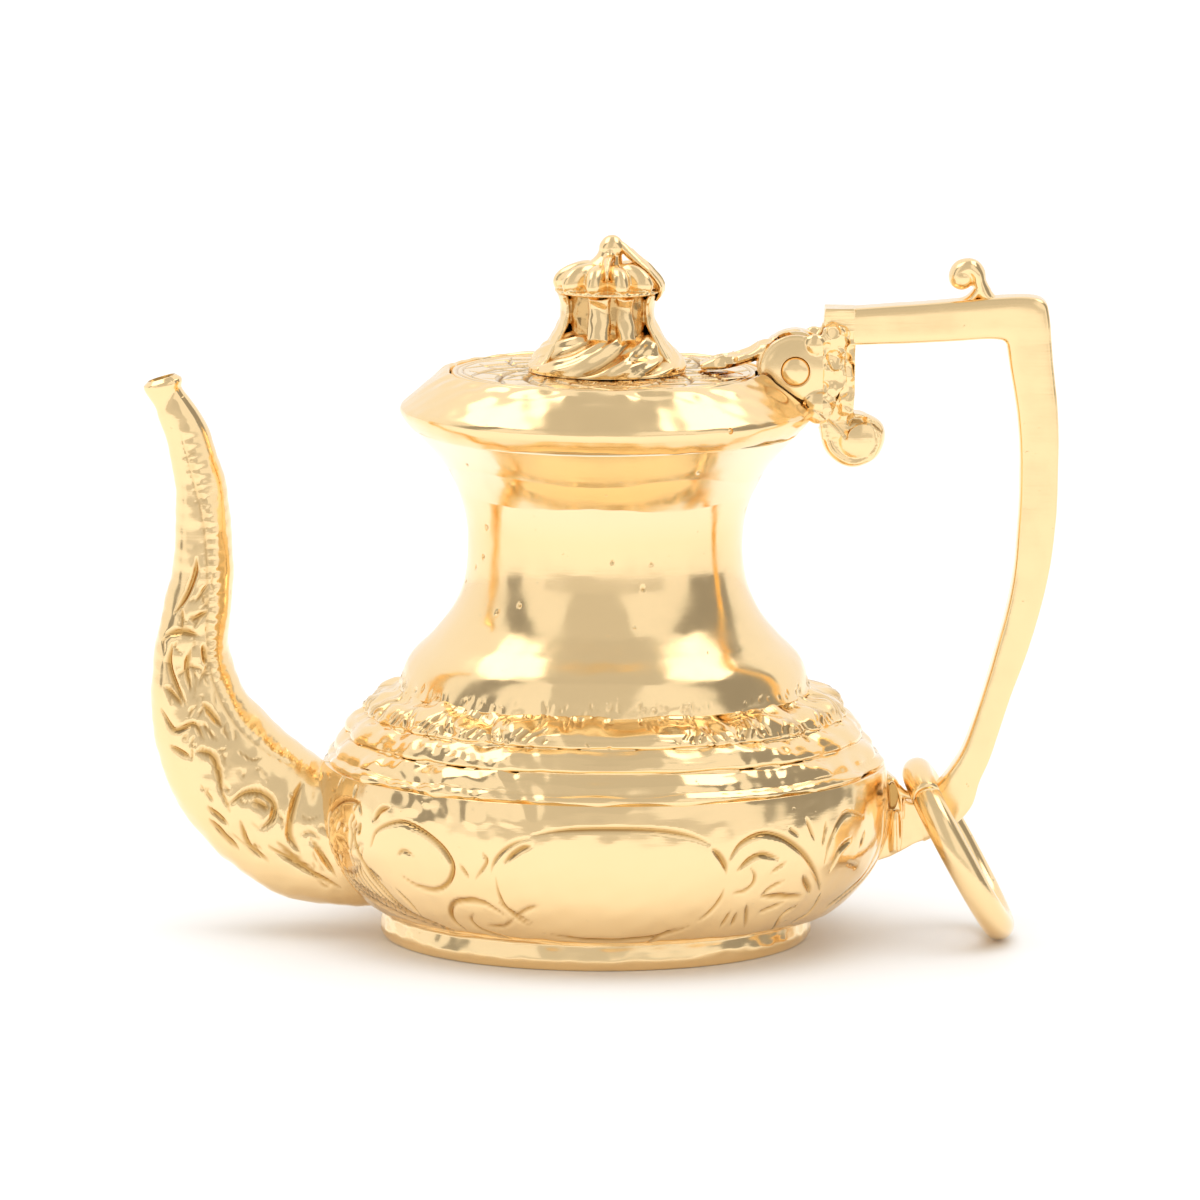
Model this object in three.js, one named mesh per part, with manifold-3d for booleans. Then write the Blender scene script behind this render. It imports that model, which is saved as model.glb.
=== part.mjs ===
// A gold coffee pot charm: a round pot with an engraved belly, a waisted neck, a flared rim, a riveted lid
// that opens, a curved spout, a square-cornered handle, and a jump ring that hangs round the handle's foot.
// Millimetres, +Z up. The pot's axis is X = 0, Y = 0, its foot stands on Z = 0, its spout points along -X.
import * as THREE from "three";
import { mergeVertices } from "three/addons/utils/BufferGeometryUtils.js";
import Module from "manifold-3d";

const wasm = await Module();
wasm.setup();

// ---------------------------------------------------------------- driving dimensions
const GAP = 0.03; // left between pieces that are soldered face to face
const WALL = 0.45; // cast wall of the hollow body
const TURN_SIDES = 40; // sides of every turned piece

const FOOT = { radius: 6.36, height: 0.76, inner: 5.5, shiftX: -0.25 };
const BOWL = { bottom: FOOT.height + GAP, top: 5.28, crease: 8.42 };
const SHOULDER = { bottom: BOWL.top + GAP, top: 7.56 };
const NECK = { bottom: SHOULDER.top + GAP, top: 15.2, waist: 4.11 };
const RIM = { bottom: NECK.top + GAP, belt: 6.2, beltZ: 15.9, mouth: 4.15, top: 17.1 };
const LID = { radius: 4.66, seatZ: 16.72, thickness: 0.33 };
LID.bottom = LID.seatZ + GAP;
LID.top = LID.bottom + LID.thickness;

const PIN = { x: 5.62, z: 17.22, shaft: 0.3, head: 0.44, headDepth: 0.2 };
const KNUCKLE = { radius: 1.18, bore: 0.36, halfWidth: 0.6 };
const LUG = { radius: 1.1, inside: 0.64, outside: 1.18 };
const SOCKET = { left: 6.88, right: 7.41, halfWidth: 0.6, top: 19.05 };
const HANDLE = { halfWidth: 0.58, bevel: 0.16, foot: 9.62, footTop: 4.3, footBottom: 2.92 };
const RING = { wire: 0.9, middle: 5.2, topX: 9.38, topZ: 5.02, sideways: -0.6, tableGap: 0.02 };
Object.assign(RING, { cutAt: 144, cutWidth: 0.12 }); // the saw cut: degrees from the lowest point, and mm
const SPOUT = { wall: 0.3, rootHole: 0.9 };

// ---------------------------------------------------------------- shared helpers
const POLISHED = { color: 0xffdc9a, roughness: 0.12, metalness: 1 };
const CHASED = { color: 0xf6cd86, roughness: 0.22, metalness: 1 };
const v2 = (pair) => new THREE.Vector2(pair[0], pair[1]);

// A closed geometry as a solid that can be cut and joined. It merges shared vertices and drops pole slivers.
function solid(geometry) {
  const bare = geometry.index ? geometry.toNonIndexed() : geometry.clone();
  bare.deleteAttribute("normal");
  bare.deleteAttribute("uv");
  const merged = mergeVertices(bare, 1e-4);
  const kept = [];
  const index = merged.index.array;
  for (let i = 0; i < index.length; i += 3) {
    const [a, b, c] = [index[i], index[i + 1], index[i + 2]];
    if (a !== b && b !== c && a !== c) kept.push(a, b, c);
  }
  const vertProperties = merged.attributes.position.array;
  return new wasm.Manifold(new wasm.Mesh({ numProp: 3, vertProperties, triVerts: new Uint32Array(kept) }));
}

// A cut or joined solid back as a flat-shaded geometry.
function geometryOf(manifold) {
  const mesh = manifold.getMesh();
  const geometry = new THREE.BufferGeometry();
  geometry.setAttribute("position", new THREE.BufferAttribute(Float32Array.from(mesh.vertProperties), 3));
  geometry.setIndex(new THREE.BufferAttribute(Uint32Array.from(mesh.triVerts), 1));
  const flat = geometry.toNonIndexed();
  flat.computeVertexNormals();
  return flat;
}

// A profile of [radius, height] pairs turned about the Z axis. It closes on itself, or ends on the axis.
function turned(profile, sides = TURN_SIDES) {
  return new THREE.LatheGeometry(profile.map(v2), sides).rotateX(Math.PI / 2);
}

// Points spread along a smooth curve through a few chosen ones.
function smooth(points, count) {
  return new THREE.SplineCurve(points.map(v2)).getPoints(count).map((p) => [p.x, p.y]);
}

// The closed profile of a shell: its outer line from bottom to top, and that line moved in by the wall.
function shell(outer, wall = WALL) {
  const last = outer.length - 1;
  const inner = outer.map(([radius, height], i) => {
    if (i === 0 || i === last) return [radius - wall, height];
    const [before, after] = [outer[i - 1], outer[i + 1]];
    const along = new THREE.Vector2(after[0] - before[0], after[1] - before[1]).normalize();
    return [radius - wall * along.y, height + wall * along.x];
  });
  return [...outer, ...inner.reverse(), outer[0]];
}

// A flat outline in X and Z, given its thickness along Y from low to high.
function plate(shape, low, high, bevel = 0, curveSegments = 10) {
  const options = {
    depth: high - low - 2 * bevel,
    bevelEnabled: bevel > 0,
    bevelThickness: bevel,
    bevelSize: bevel,
    bevelOffset: -bevel,
    bevelSegments: 2,
    curveSegments,
  };
  return new THREE.ExtrudeGeometry(shape, options).rotateX(Math.PI / 2).translate(0, high - bevel, 0);
}

// A round rod along Y, at x and z.
function rod(radius, low, high, x, z, sides = 24) {
  return new THREE.CylinderGeometry(radius, radius, high - low, sides).translate(x, (low + high) / 2, z);
}

// A skin over rings of points, each ring the same length, closed at both ends by a fan.
function loft(rings) {
  const count = rings[0].length;
  const points = rings.flat();
  const index = [];
  for (let ring = 0; ring < rings.length - 1; ring++) {
    for (let i = 0; i < count; i++) {
      const [a, b] = [ring * count + i, ring * count + ((i + 1) % count)];
      index.push(a, b, a + count, b, b + count, a + count);
    }
  }
  for (let i = 1; i < count - 1; i++) {
    const end = (rings.length - 1) * count;
    index.push(0, i + 1, i, end, end + i, end + i + 1);
  }
  const geometry = new THREE.BufferGeometry().setFromPoints(points);
  geometry.setIndex(index);
  geometry.computeVertexNormals();
  return geometry;
}

function piece(name, geometry, look) {
  const mesh = new THREE.Mesh(geometry, new THREE.MeshStandardMaterial(look));
  mesh.name = name;
  return mesh;
}

// ---------------------------------------------------------------- body
// The foot is a low flared ring, and the base plate closes the bowl inside it.
function footRing() {
  const { radius, height, inner, shiftX } = FOOT;
  const profile = [[inner, 0], [radius, 0], [radius + 0.12, 0.3], [radius + 0.06, 0.6],
    [radius - 0.03, height], [inner, height], [inner, 0]];
  return turned(profile).translate(shiftX, 0, 0);
}

function basePlate() {
  const [bottom, top, radius] = [BOWL.bottom, BOWL.bottom + 0.35, 5.85];
  return turned([[0, bottom], [radius, bottom], [radius, top], [0, top]]);
}

const BOWL_LINE = smooth([[6.45, BOWL.bottom], [7.18, 1.12], [8.03, 2.04], [8.48, 3.0], [8.6, 3.9],
  [8.56, 4.6], [BOWL.crease, BOWL.top]], 9);

// The bowl is the engraved belly. A hole through its wall leads into the spout.
function bowl() {
  const hole = new THREE.CylinderGeometry(SPOUT.rootHole, SPOUT.rootHole, 3, 20)
    .rotateZ(Math.PI / 2).translate(-8.2, 0, 3.0);
  return geometryOf(solid(turned(shell(BOWL_LINE))).subtract(solid(hole)));
}

// The shoulder steps up from the bowl to the neck in three rounded bands.
const SHOULDER_LINE = [[8.36, SHOULDER.bottom], [8.28, 5.55], [8.02, 5.95], [7.78, 6.14], [7.76, 6.32],
  [7.55, 6.6], [7.29, 6.76], [7.27, 6.92], [7.18, 7.14], [6.92, 7.3], [6.4, 7.44], [6.2, SHOULDER.top]];
const shoulderBand = () => turned(shell(SHOULDER_LINE, 0.5));

// The neck is a tall waisted sleeve.
const NECK_LINE = smooth([[6.14, NECK.bottom], [5.88, 8.4], [5.17, 9.17], [4.6, 9.9], [4.23, 10.75],
  [NECK.waist, 11.7], [4.16, 12.6], [4.42, 13.5], [4.92, 14.4], [5.68, NECK.top]], 11);
const neck = () => turned(shell(NECK_LINE));

// The space that the hinge's lugs and knuckle turn in, grown by some clearance round the knuckle.
function hingePocket(clearance) {
  const lugs = solid(rod(LUG.radius + 0.06, -LUG.outside - 0.05, LUG.outside + 0.05, PIN.x, PIN.z, 32));
  return lugs.add(solid(rod(KNUCKLE.radius + clearance, -LUG.inside, LUG.inside, PIN.x, PIN.z, 32)));
}

// The rim is a bevelled collar with a ledge inside it for the lid, and a pocket cut for the hinge.
function rimCollar() {
  const { bottom, belt, beltZ, mouth, top } = RIM;
  const profile = [[5.24, bottom], [5.7, bottom], [5.98, 15.54], [belt, beltZ], [6.12, 16.06],
    [4.9, top - 0.06], [LID.radius + 0.1, top], [LID.radius + 0.05, LID.seatZ], [mouth, LID.seatZ],
    [mouth, 16.3], [5.24, bottom]];
  return geometryOf(solid(turned(profile)).subtract(hingePocket(0.08)));
}

// ---------------------------------------------------------------- spout
// Each station is [x, z, half height across the bend, half width along Y], from the mouth to the root.
const SPOUT_STATIONS = [[-13.5, 16.54, 0.52, 0.5], [-12.95, 16.0, 0.56, 0.54], [-12.46, 14.95, 0.66, 0.62],
  [-12.13, 13.2, 0.79, 0.72], [-12.07, 11.5, 0.89, 0.84], [-12.21, 10.0, 1.0, 0.96],
  [-12.42, 8.4, 1.16, 1.08], [-12.18, 6.8, 1.48, 1.28], [-11.58, 5.5, 1.82, 1.55],
  [-10.64, 4.3, 2.02, 1.75], [-9.18, 3.2, 2.1, 1.9], [-7.1, 2.8, 1.92, 1.95]];

// Rings of an oval tube that follows the stations, thinned by inset and run past each end by extra.
function spoutRings(inset, extra, sides = 16, count = 22) {
  const line = new THREE.CatmullRomCurve3(SPOUT_STATIONS.map(([x, z]) => new THREE.Vector3(x, 0, z)));
  const sizes = new THREE.CatmullRomCurve3(
    SPOUT_STATIONS.map(([, , tall, wide]) => new THREE.Vector3(tall, wide, 0)));
  return Array.from({ length: count + 1 }, (_, step) => {
    const share = step / count;
    const [middle, along, size] = [line.getPoint(share), line.getTangent(share), sizes.getPoint(share)];
    const across = new THREE.Vector3(along.z, 0, -along.x);
    if (step === 0) middle.addScaledVector(along, -extra);
    if (step === count) middle.addScaledVector(along, extra);
    return Array.from({ length: sides }, (_, side) => {
      const turn = (side / sides) * 2 * Math.PI;
      return middle.clone().addScaledVector(across, (size.x - inset) * Math.cos(turn))
        .add(new THREE.Vector3(0, (size.y - inset) * Math.sin(turn), 0));
    });
  });
}

// The spout is a hollow horn: its root is cut to the bowl and shoulder it is soldered to.
function spout() {
  const grown = (line) => line.map(([radius, height]) => [radius + GAP, height]);
  const body = [...grown(BOWL_LINE), ...grown(SHOULDER_LINE)];
  const bodyBlank = turned([[0, BOWL.bottom], ...body, [0, SHOULDER.top]]);
  const horn = solid(loft(spoutRings(0, 0))).subtract(solid(loft(spoutRings(SPOUT.wall, 0.4))));
  const parts = horn.subtract(solid(bodyBlank)).decompose();
  return geometryOf(parts.sort((a, b) => b.volume() - a.volume())[0]);
}

// ---------------------------------------------------------------- hinge
// The lugs are a pair of ears on the handle's socket. The pin's heads sit flush in their outer faces.
function hingeLug(side) {
  const [near, far] = [LUG.inside * side, LUG.outside * side];
  const [from, to] = [62, 298].map(THREE.MathUtils.degToRad);
  const shape = new THREE.Shape();
  shape.absarc(PIN.x, PIN.z, LUG.radius, from, to, false);
  shape.lineTo(6.85, 16.35);
  shape.lineTo(7.3, 16.9);
  shape.lineTo(7.3, 18.1);
  shape.lineTo(6.9, 18.35);
  const ear = solid(plate(shape, Math.min(near, far), Math.max(near, far), 0.08));
  const bore = solid(rod(PIN.shaft + GAP, -2, 2, PIN.x, PIN.z));
  const [seatFloor, past] = [far - side * (PIN.headDepth + GAP), far + side];
  const seat = solid(rod(PIN.head + GAP, Math.min(seatFloor, past), Math.max(seatFloor, past), PIN.x, PIN.z));
  return geometryOf(ear.subtract(bore).subtract(seat));
}

function hingePin() {
  const { shaft, head, headDepth, x, z } = PIN;
  const end = LUG.outside;
  const bar = solid(rod(shaft, -end + 0.01, end - 0.01, x, z));
  return geometryOf(bar.add(solid(rod(head, -end, -end + headDepth, x, z)))
    .add(solid(rod(head, end - headDepth, end, x, z))));
}

// ---------------------------------------------------------------- lid
// The lid is a flat disc that lies on the rim's ledge, notched at the back for the hinge.
function lidPlate() {
  const { radius, bottom, top } = LID;
  const disc = turned([[0, bottom], [radius, bottom], [radius, top - 0.06], [radius - 0.1, top], [0, top]]);
  return geometryOf(solid(disc).subtract(hingePocket(GAP)));
}

// The strap stands on the lid plate, rises over the rim and rolls round the hinge pin.
function lidStrap() {
  const [foot, underside] = [LID.top + GAP, 17.3];
  const from = Math.PI - Math.asin((underside - PIN.z) / KNUCKLE.radius);
  const shape = new THREE.Shape();
  shape.moveTo(2.75, foot);
  shape.lineTo(3.35, foot);
  shape.lineTo(3.6, underside);
  shape.absarc(PIN.x, PIN.z, KNUCKLE.radius, from, 2.66 * Math.PI, false);
  shape.quadraticCurveTo(4.5, 18.05, 3.95, 17.62);
  shape.lineTo(3.2, 17.46);
  shape.lineTo(2.75, 17.25);
  const strap = solid(plate(shape, -KNUCKLE.halfWidth, KNUCKLE.halfWidth));
  return geometryOf(strap.subtract(solid(rod(KNUCKLE.bore, -1, 1, PIN.x, PIN.z))));
}

// The finial is a swirled skirt, a fluted stem, a lobed cap and a bud, stacked on the lid.
const FINIAL = { skirtBottom: LID.top + GAP, skirtTop: 18.4, stemTop: 19.42, capTop: 20.36, tip: 21.12 };
const finialSkirt = () => turned([[0, FINIAL.skirtBottom], [2.36, FINIAL.skirtBottom], [2.26, 17.35],
  [1.98, 17.7], [1.62, 18.1], [1.48, FINIAL.skirtTop], [0, FINIAL.skirtTop]], 32);

function finialStem() {
  const [ridges, steps] = [6, 48];
  const shape = new THREE.Shape();
  for (let step = 0; step < steps; step++) {
    const turn = (step / steps) * 2 * Math.PI;
    const radius = 1.08 + 0.34 * Math.cos(ridges * turn);
    if (step === 0) shape.moveTo(radius, 0);
    else shape.lineTo(radius * Math.cos(turn), radius * Math.sin(turn));
  }
  const bottom = FINIAL.skirtTop + GAP;
  return new THREE.ExtrudeGeometry(shape, { depth: FINIAL.stemTop - bottom, bevelEnabled: false })
    .translate(0, 0, bottom);
}

const finialCap = () => turned([[0, FINIAL.stemTop + GAP], [1.56, FINIAL.stemTop + GAP], [1.6, 19.56],
  [1.46, 19.85], [1.14, 20.14], [0.72, 20.32], [0, FINIAL.capTop]], 32);

const finialBud = () => turned([[0, FINIAL.capTop + GAP], [0.46, FINIAL.capTop + GAP], [0.36, 20.56],
  [0.42, 20.8], [0.34, 21.0], [0.16, 21.1], [0, FINIAL.tip]], 20);

// One long leaf runs from the bud down over the cap's edge, on the side of the hinge.
function finialLeaf() {
  const [halfWidth, thickness] = [0.42, 0.14];
  const back = [[0.52, 20.84], [1.02, 20.5], [1.5, 20.1], [1.7, 19.62], [1.64, 19.3]];
  const shape = new THREE.Shape();
  shape.moveTo(...back[0]);
  shape.splineThru(back.slice(1).map(v2));
  shape.lineTo(1.64 + thickness, 19.24);
  shape.splineThru([[1.7 + thickness, 19.66], [1.62, 20.2], [1.1, 20.65], [0.58, 20.98]].map(v2));
  return plate(shape, -halfWidth, halfWidth, 0, 6);
}

// ---------------------------------------------------------------- handle
// The socket is the chased bracket behind the hinge. It stands off the rim and ends below in a round scroll.
function handleSocket() {
  const { left, right, top, halfWidth } = SOCKET;
  const [from, to] = [91, -165].map(THREE.MathUtils.degToRad);
  const shape = new THREE.Shape();
  shape.moveTo(6.44, top);
  shape.lineTo(right, top);
  shape.absarc(7.42, 15.1, 0.84, from, to, true);
  shape.lineTo(6.38, 15.1);
  shape.lineTo(6.32, 15.5);
  shape.lineTo(6.24, 15.9);
  shape.lineTo(6.3, 16.05);
  shape.lineTo(left, 16.4);
  shape.lineTo(left, 18.4);
  shape.lineTo(6.4, 18.6);
  return plate(shape, -halfWidth, halfWidth);
}

// Rungs across the handle's bar, each [inner x, inner z, outer x, outer z], from its socket to its foot.
const HANDLE_RUNGS = [[SOCKET.right + GAP, 17.93, SOCKET.right + GAP, 19.05], [9.6, 18.03, 9.6, 19.21],
  [11.3, 18.14, 11.5, 19.38], [11.8, 18.1, 12.62, 19.42], [11.9, 18.0, 13.04, 19.27],
  [11.94, 17.86, 13.2, 18.86], [12.03, 17.31, 13.33, 17.45], [12.27, 15.85, 13.5, 15.85],
  [12.36, 14.4, 13.53, 14.4], [12.32, 12.5, 13.47, 12.6], [12.14, 10.6, 13.24, 10.85],
  [11.66, 8.6, 12.74, 8.95], [11.22, 7.1, 12.18, 7.35], [10.78, 5.82, 11.62, 5.58],
  [10.34, 5.08, 11.28, 4.76], [9.98, 4.62, 11.02, 3.96], [9.74, 4.38, 10.42, 3.32],
  [HANDLE.foot, HANDLE.footTop, HANDLE.foot, HANDLE.footBottom]];

// The loop is one bar: it runs out from the socket, turns a square corner and sweeps down to a broad foot.
function handleLoop() {
  const { halfWidth, bevel } = HANDLE;
  const curve = (end) => new THREE.CatmullRomCurve3(HANDLE_RUNGS.map((rung) =>
    new THREE.Vector3(rung[end], 0, rung[end + 1])), false, "centripetal");
  const [inner, outer, steps] = [curve(0), curve(2), 2 * (HANDLE_RUNGS.length - 1)];
  return loft(Array.from({ length: steps + 1 }, (_, step) => {
    const [low, high] = [inner.getPoint(step / steps), outer.getPoint(step / steps)];
    const cut = bevel / low.distanceTo(high);
    const corner = (share, y) => low.clone().lerp(high, share).setY(y);
    return [corner(cut, halfWidth), corner(1 - cut, halfWidth), corner(1, halfWidth - bevel),
      corner(1, bevel - halfWidth), corner(1 - cut, -halfWidth), corner(cut, -halfWidth),
      corner(0, bevel - halfWidth), corner(0, halfWidth - bevel)];
  }));
}

// The thumb scroll curls back over the handle's top.
function thumbScroll() {
  const halfWidth = 0.46;
  const stem = new THREE.Shape();
  stem.moveTo(10.52, 19.36);
  stem.quadraticCurveTo(10.88, 19.42, 10.93, 19.75);
  stem.lineTo(11.18, 20.12);
  stem.quadraticCurveTo(11.28, 19.75, 11.36, 19.43);
  const curl = rod(0.5, -halfWidth, halfWidth, 10.71, 19.97);
  return geometryOf(solid(curl).add(solid(plate(stem, -halfWidth, halfWidth))));
}

// The lug is the web that joins the handle's foot to the bowl. A small eye pierces it next to the bowl.
function handleLug() {
  const { footTop, footBottom } = HANDLE;
  const right = HANDLE.foot - GAP;
  const shape = new THREE.Shape();
  shape.moveTo(8.2, 5.05);
  shape.quadraticCurveTo(8.68, 4.95, 8.72, 4.5);
  shape.lineTo(8.92, footTop);
  shape.lineTo(right, footTop);
  shape.lineTo(right, footBottom);
  shape.quadraticCurveTo(9.0, 2.5, 8.1, 2.25);
  const bowlBlank = turned([[0, BOWL.bottom], ...BOWL_LINE.map(([radius, height]) => [radius + GAP, height]),
    [0, BOWL.top]]);
  const eye = rod(0.17, -1, 1, 8.89, 3.9, 16);
  return geometryOf(solid(plate(shape, -0.48, 0.48)).subtract(solid(bowlBlank)).subtract(solid(eye)));
}

// The jump ring is round wire bent to a circle, with a saw cut left open. It hangs round the lug, and leans
// out until its lowest point rests on the table.
function jumpRing() {
  const { wire, middle, topX, topZ, sideways, tableGap, cutAt, cutWidth } = RING;
  const [sides, steps, radius] = [12, 40, middle / 2];
  const lean = Math.acos((topZ - wire / 2 - tableGap) / middle);
  const down = new THREE.Vector3(Math.sin(lean), 0, -Math.cos(lean));
  const front = new THREE.Vector3(0, -1, 0);
  const normal = new THREE.Vector3().crossVectors(front, down);
  const centre = new THREE.Vector3(topX, sideways, topZ).addScaledVector(down, radius);
  const from = THREE.MathUtils.degToRad(cutAt);
  const sweep = 2 * Math.PI - cutWidth / radius;
  return loft(Array.from({ length: steps + 1 }, (_, step) => {
    const turn = from + (sweep * step) / steps;
    const out = down.clone().multiplyScalar(Math.cos(turn)).addScaledVector(front, Math.sin(turn));
    return Array.from({ length: sides }, (_, side) => {
      const round = (side / sides) * 2 * Math.PI;
      return centre.clone().addScaledVector(out, radius + (wire / 2) * Math.cos(round))
        .addScaledVector(normal, (wire / 2) * Math.sin(round));
    });
  }));
}

// ---------------------------------------------------------------- assembly
const pot = new THREE.Group();
pot.add(
  piece("foot_ring", footRing(), POLISHED),
  piece("base_plate", basePlate(), POLISHED),
  piece("bowl", bowl(), CHASED),
  piece("shoulder_band", shoulderBand(), CHASED),
  piece("neck", neck(), POLISHED),
  piece("rim_collar", rimCollar(), POLISHED),
  piece("spout", spout(), CHASED),
  piece("handle_socket", handleSocket(), CHASED),
  piece("handle_loop", handleLoop(), POLISHED),
  piece("thumb_scroll", thumbScroll(), POLISHED),
  piece("handle_lug", handleLug(), POLISHED),
  piece("hinge_lug_front", hingeLug(-1), POLISHED),
  piece("hinge_lug_back", hingeLug(1), POLISHED),
  piece("hinge_pin", hingePin(), POLISHED),
);

const lid = new THREE.Group();
lid.add(
  piece("lid_plate", lidPlate(), CHASED),
  piece("lid_strap", lidStrap(), POLISHED),
  piece("finial_skirt", finialSkirt(), CHASED),
  piece("finial_stem", finialStem(), CHASED),
  piece("finial_cap", finialCap(), CHASED),
  piece("finial_bud", finialBud(), POLISHED),
  piece("finial_leaf", finialLeaf(), CHASED),
);
pot.add(lid, piece("jump_ring", jumpRing(), POLISHED));

export default pot;
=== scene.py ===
"""A gold coffee pot charm: the visible pieces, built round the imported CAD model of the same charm."""

import math

import bmesh
import bpy
import numpy as np
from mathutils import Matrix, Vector


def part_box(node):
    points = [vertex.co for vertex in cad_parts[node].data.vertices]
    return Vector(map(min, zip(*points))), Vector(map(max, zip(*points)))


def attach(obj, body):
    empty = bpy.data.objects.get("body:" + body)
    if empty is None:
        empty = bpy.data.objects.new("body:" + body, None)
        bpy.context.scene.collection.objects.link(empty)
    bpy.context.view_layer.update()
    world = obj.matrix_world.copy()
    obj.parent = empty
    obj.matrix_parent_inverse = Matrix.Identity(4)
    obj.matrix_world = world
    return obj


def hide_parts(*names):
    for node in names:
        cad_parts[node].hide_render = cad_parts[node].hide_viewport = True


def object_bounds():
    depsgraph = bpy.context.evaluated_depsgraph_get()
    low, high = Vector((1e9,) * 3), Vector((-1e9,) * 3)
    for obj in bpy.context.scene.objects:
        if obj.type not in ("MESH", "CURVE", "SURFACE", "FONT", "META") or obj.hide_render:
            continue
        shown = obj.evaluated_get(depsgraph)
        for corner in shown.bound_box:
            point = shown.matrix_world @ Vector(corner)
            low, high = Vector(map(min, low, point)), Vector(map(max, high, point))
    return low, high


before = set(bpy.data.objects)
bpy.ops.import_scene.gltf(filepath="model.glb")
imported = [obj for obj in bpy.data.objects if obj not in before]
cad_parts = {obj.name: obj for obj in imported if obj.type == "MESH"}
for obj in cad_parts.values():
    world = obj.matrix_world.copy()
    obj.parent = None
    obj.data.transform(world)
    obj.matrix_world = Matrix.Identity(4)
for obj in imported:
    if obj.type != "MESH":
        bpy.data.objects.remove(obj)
cad_low, cad_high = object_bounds()
MM = 0.001  # sizes are written in millimetres and scaled to metres as a mesh is made

# ---------------------------------------------------------------- camera
# A long lens on a low stand, square to the engraved side, with the stand leaning by a hair. It stands far
# enough away that the charm is drawn almost flat.
CAMERA_DISTANCE = 320 * MM
CAMERA_HEIGHT_ANGLE = math.radians(8.6)
CAMERA_ROLL = math.radians(0.35)
SENSOR = 36  # the sensor is as wide as the field at the charm, so the lens is as long as the distance
AIM_BELOW_MIDDLE = 0.42 * MM

camera_data = bpy.data.cameras.new("camera")
camera_data.sensor_width = SENSOR
camera_data.lens = CAMERA_DISTANCE / MM
camera_data.clip_start = 10 * MM
camera = bpy.data.objects.new("camera", camera_data)
bpy.context.scene.collection.objects.link(camera)
middle = (cad_low + cad_high) / 2
aim = Vector((middle.x, 0, middle.z - AIM_BELOW_MIDDLE))
towards_camera = Vector((0, -math.cos(CAMERA_HEIGHT_ANGLE), math.sin(CAMERA_HEIGHT_ANGLE)))
camera.location = aim + CAMERA_DISTANCE * towards_camera
camera.rotation_mode = "ZXY"
camera.rotation_euler = (math.pi / 2 - CAMERA_HEIGHT_ANGLE, 0, 0)
camera.rotation_euler.rotate_axis("Z", CAMERA_ROLL)
bpy.context.scene.camera = camera

# ---------------------------------------------------------------- table and studio
# A white table under a white tent. Cards hung in the tent are what the polished metal mirrors: bright ones
# for the soft boxes, and dull ones for the opening that the lens looks through.
TENT_BRIGHTNESS = 1.0
TABLE_WIDTH = 1.2
TABLE_GAP = 0.005 * MM
CARD_DISTANCE = 0.30
CARD_TINT = (1, 0.985, 0.96, 1)
LIGHT_POWER = 0.85


def emission_material(name, brightness):
    material = bpy.data.materials.new(name)
    material.use_nodes = True
    nodes = material.node_tree.nodes
    nodes.clear()
    glow = nodes.new("ShaderNodeEmission")
    glow.inputs["Color"].default_value = CARD_TINT
    glow.inputs["Strength"].default_value = brightness
    output = nodes.new("ShaderNodeOutputMaterial")
    material.node_tree.links.new(glow.outputs["Emission"], output.inputs["Surface"])
    return material


def hang_card(name, side_angle, height_angle, width, height, brightness):
    """A flat card facing the charm, seen only in reflections. Angle 0 is in front, 90 is by the handle."""
    side, up = math.radians(side_angle), math.radians(height_angle)
    away = Vector((math.sin(side) * math.cos(up), -math.cos(side) * math.cos(up), math.sin(up)))
    right = Vector((math.cos(side), math.sin(side), 0))
    top = right.cross(-away)
    centre = middle + away * CARD_DISTANCE
    corners = [centre + right * (x * width / 2) + top * (z * height / 2)
               for x, z in ((-1, -1), (1, -1), (1, 1), (-1, 1))]
    mesh = bpy.data.meshes.new(name)
    mesh.from_pydata(corners, [], [(0, 1, 2, 3)])
    mesh.materials.append(emission_material(name, brightness))
    card = bpy.data.objects.new(name, mesh)
    bpy.context.scene.collection.objects.link(card)
    for ray in ("camera", "diffuse", "shadow", "transmission"):
        setattr(card, "visible_" + ray, False)


world = bpy.data.worlds.new("tent")
world.use_nodes = True
world.node_tree.nodes["Background"].inputs["Color"].default_value = (1, 1, 1, 1)
world.node_tree.nodes["Background"].inputs["Strength"].default_value = TENT_BRIGHTNESS
bpy.context.scene.world = world
bpy.context.scene.view_settings.view_transform = "Standard"

table_material = bpy.data.materials.new("white_table")
table_material.use_nodes = True
table_shader = table_material.node_tree.nodes["Principled BSDF"]
table_shader.inputs["Base Color"].default_value = (0.94, 0.94, 0.94, 1)
table_shader.inputs["Roughness"].default_value = 0.6
table_mesh = bpy.data.meshes.new("table")
table_corner = TABLE_WIDTH / 2
table_mesh.from_pydata([(x * table_corner, y * table_corner, cad_low.z - TABLE_GAP)
                        for x, y in ((-1, -1), (1, -1), (1, 1), (-1, 1))], [], [(0, 1, 2, 3)])
table_mesh.materials.append(table_material)
table = bpy.data.objects.new("table", table_mesh)
bpy.context.scene.collection.objects.link(table)

top_light_data = bpy.data.lights.new("top_light", "AREA")
top_light_data.shape = "RECTANGLE"
top_light_data.size = 0.5
top_light_data.size_y = 0.4
top_light_data.energy = LIGHT_POWER
top_light = bpy.data.objects.new("top_light", top_light_data)
top_light.location = (-0.05, -0.05, 0.45)
top_light.visible_glossy = False
bpy.context.scene.collection.objects.link(top_light)

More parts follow.
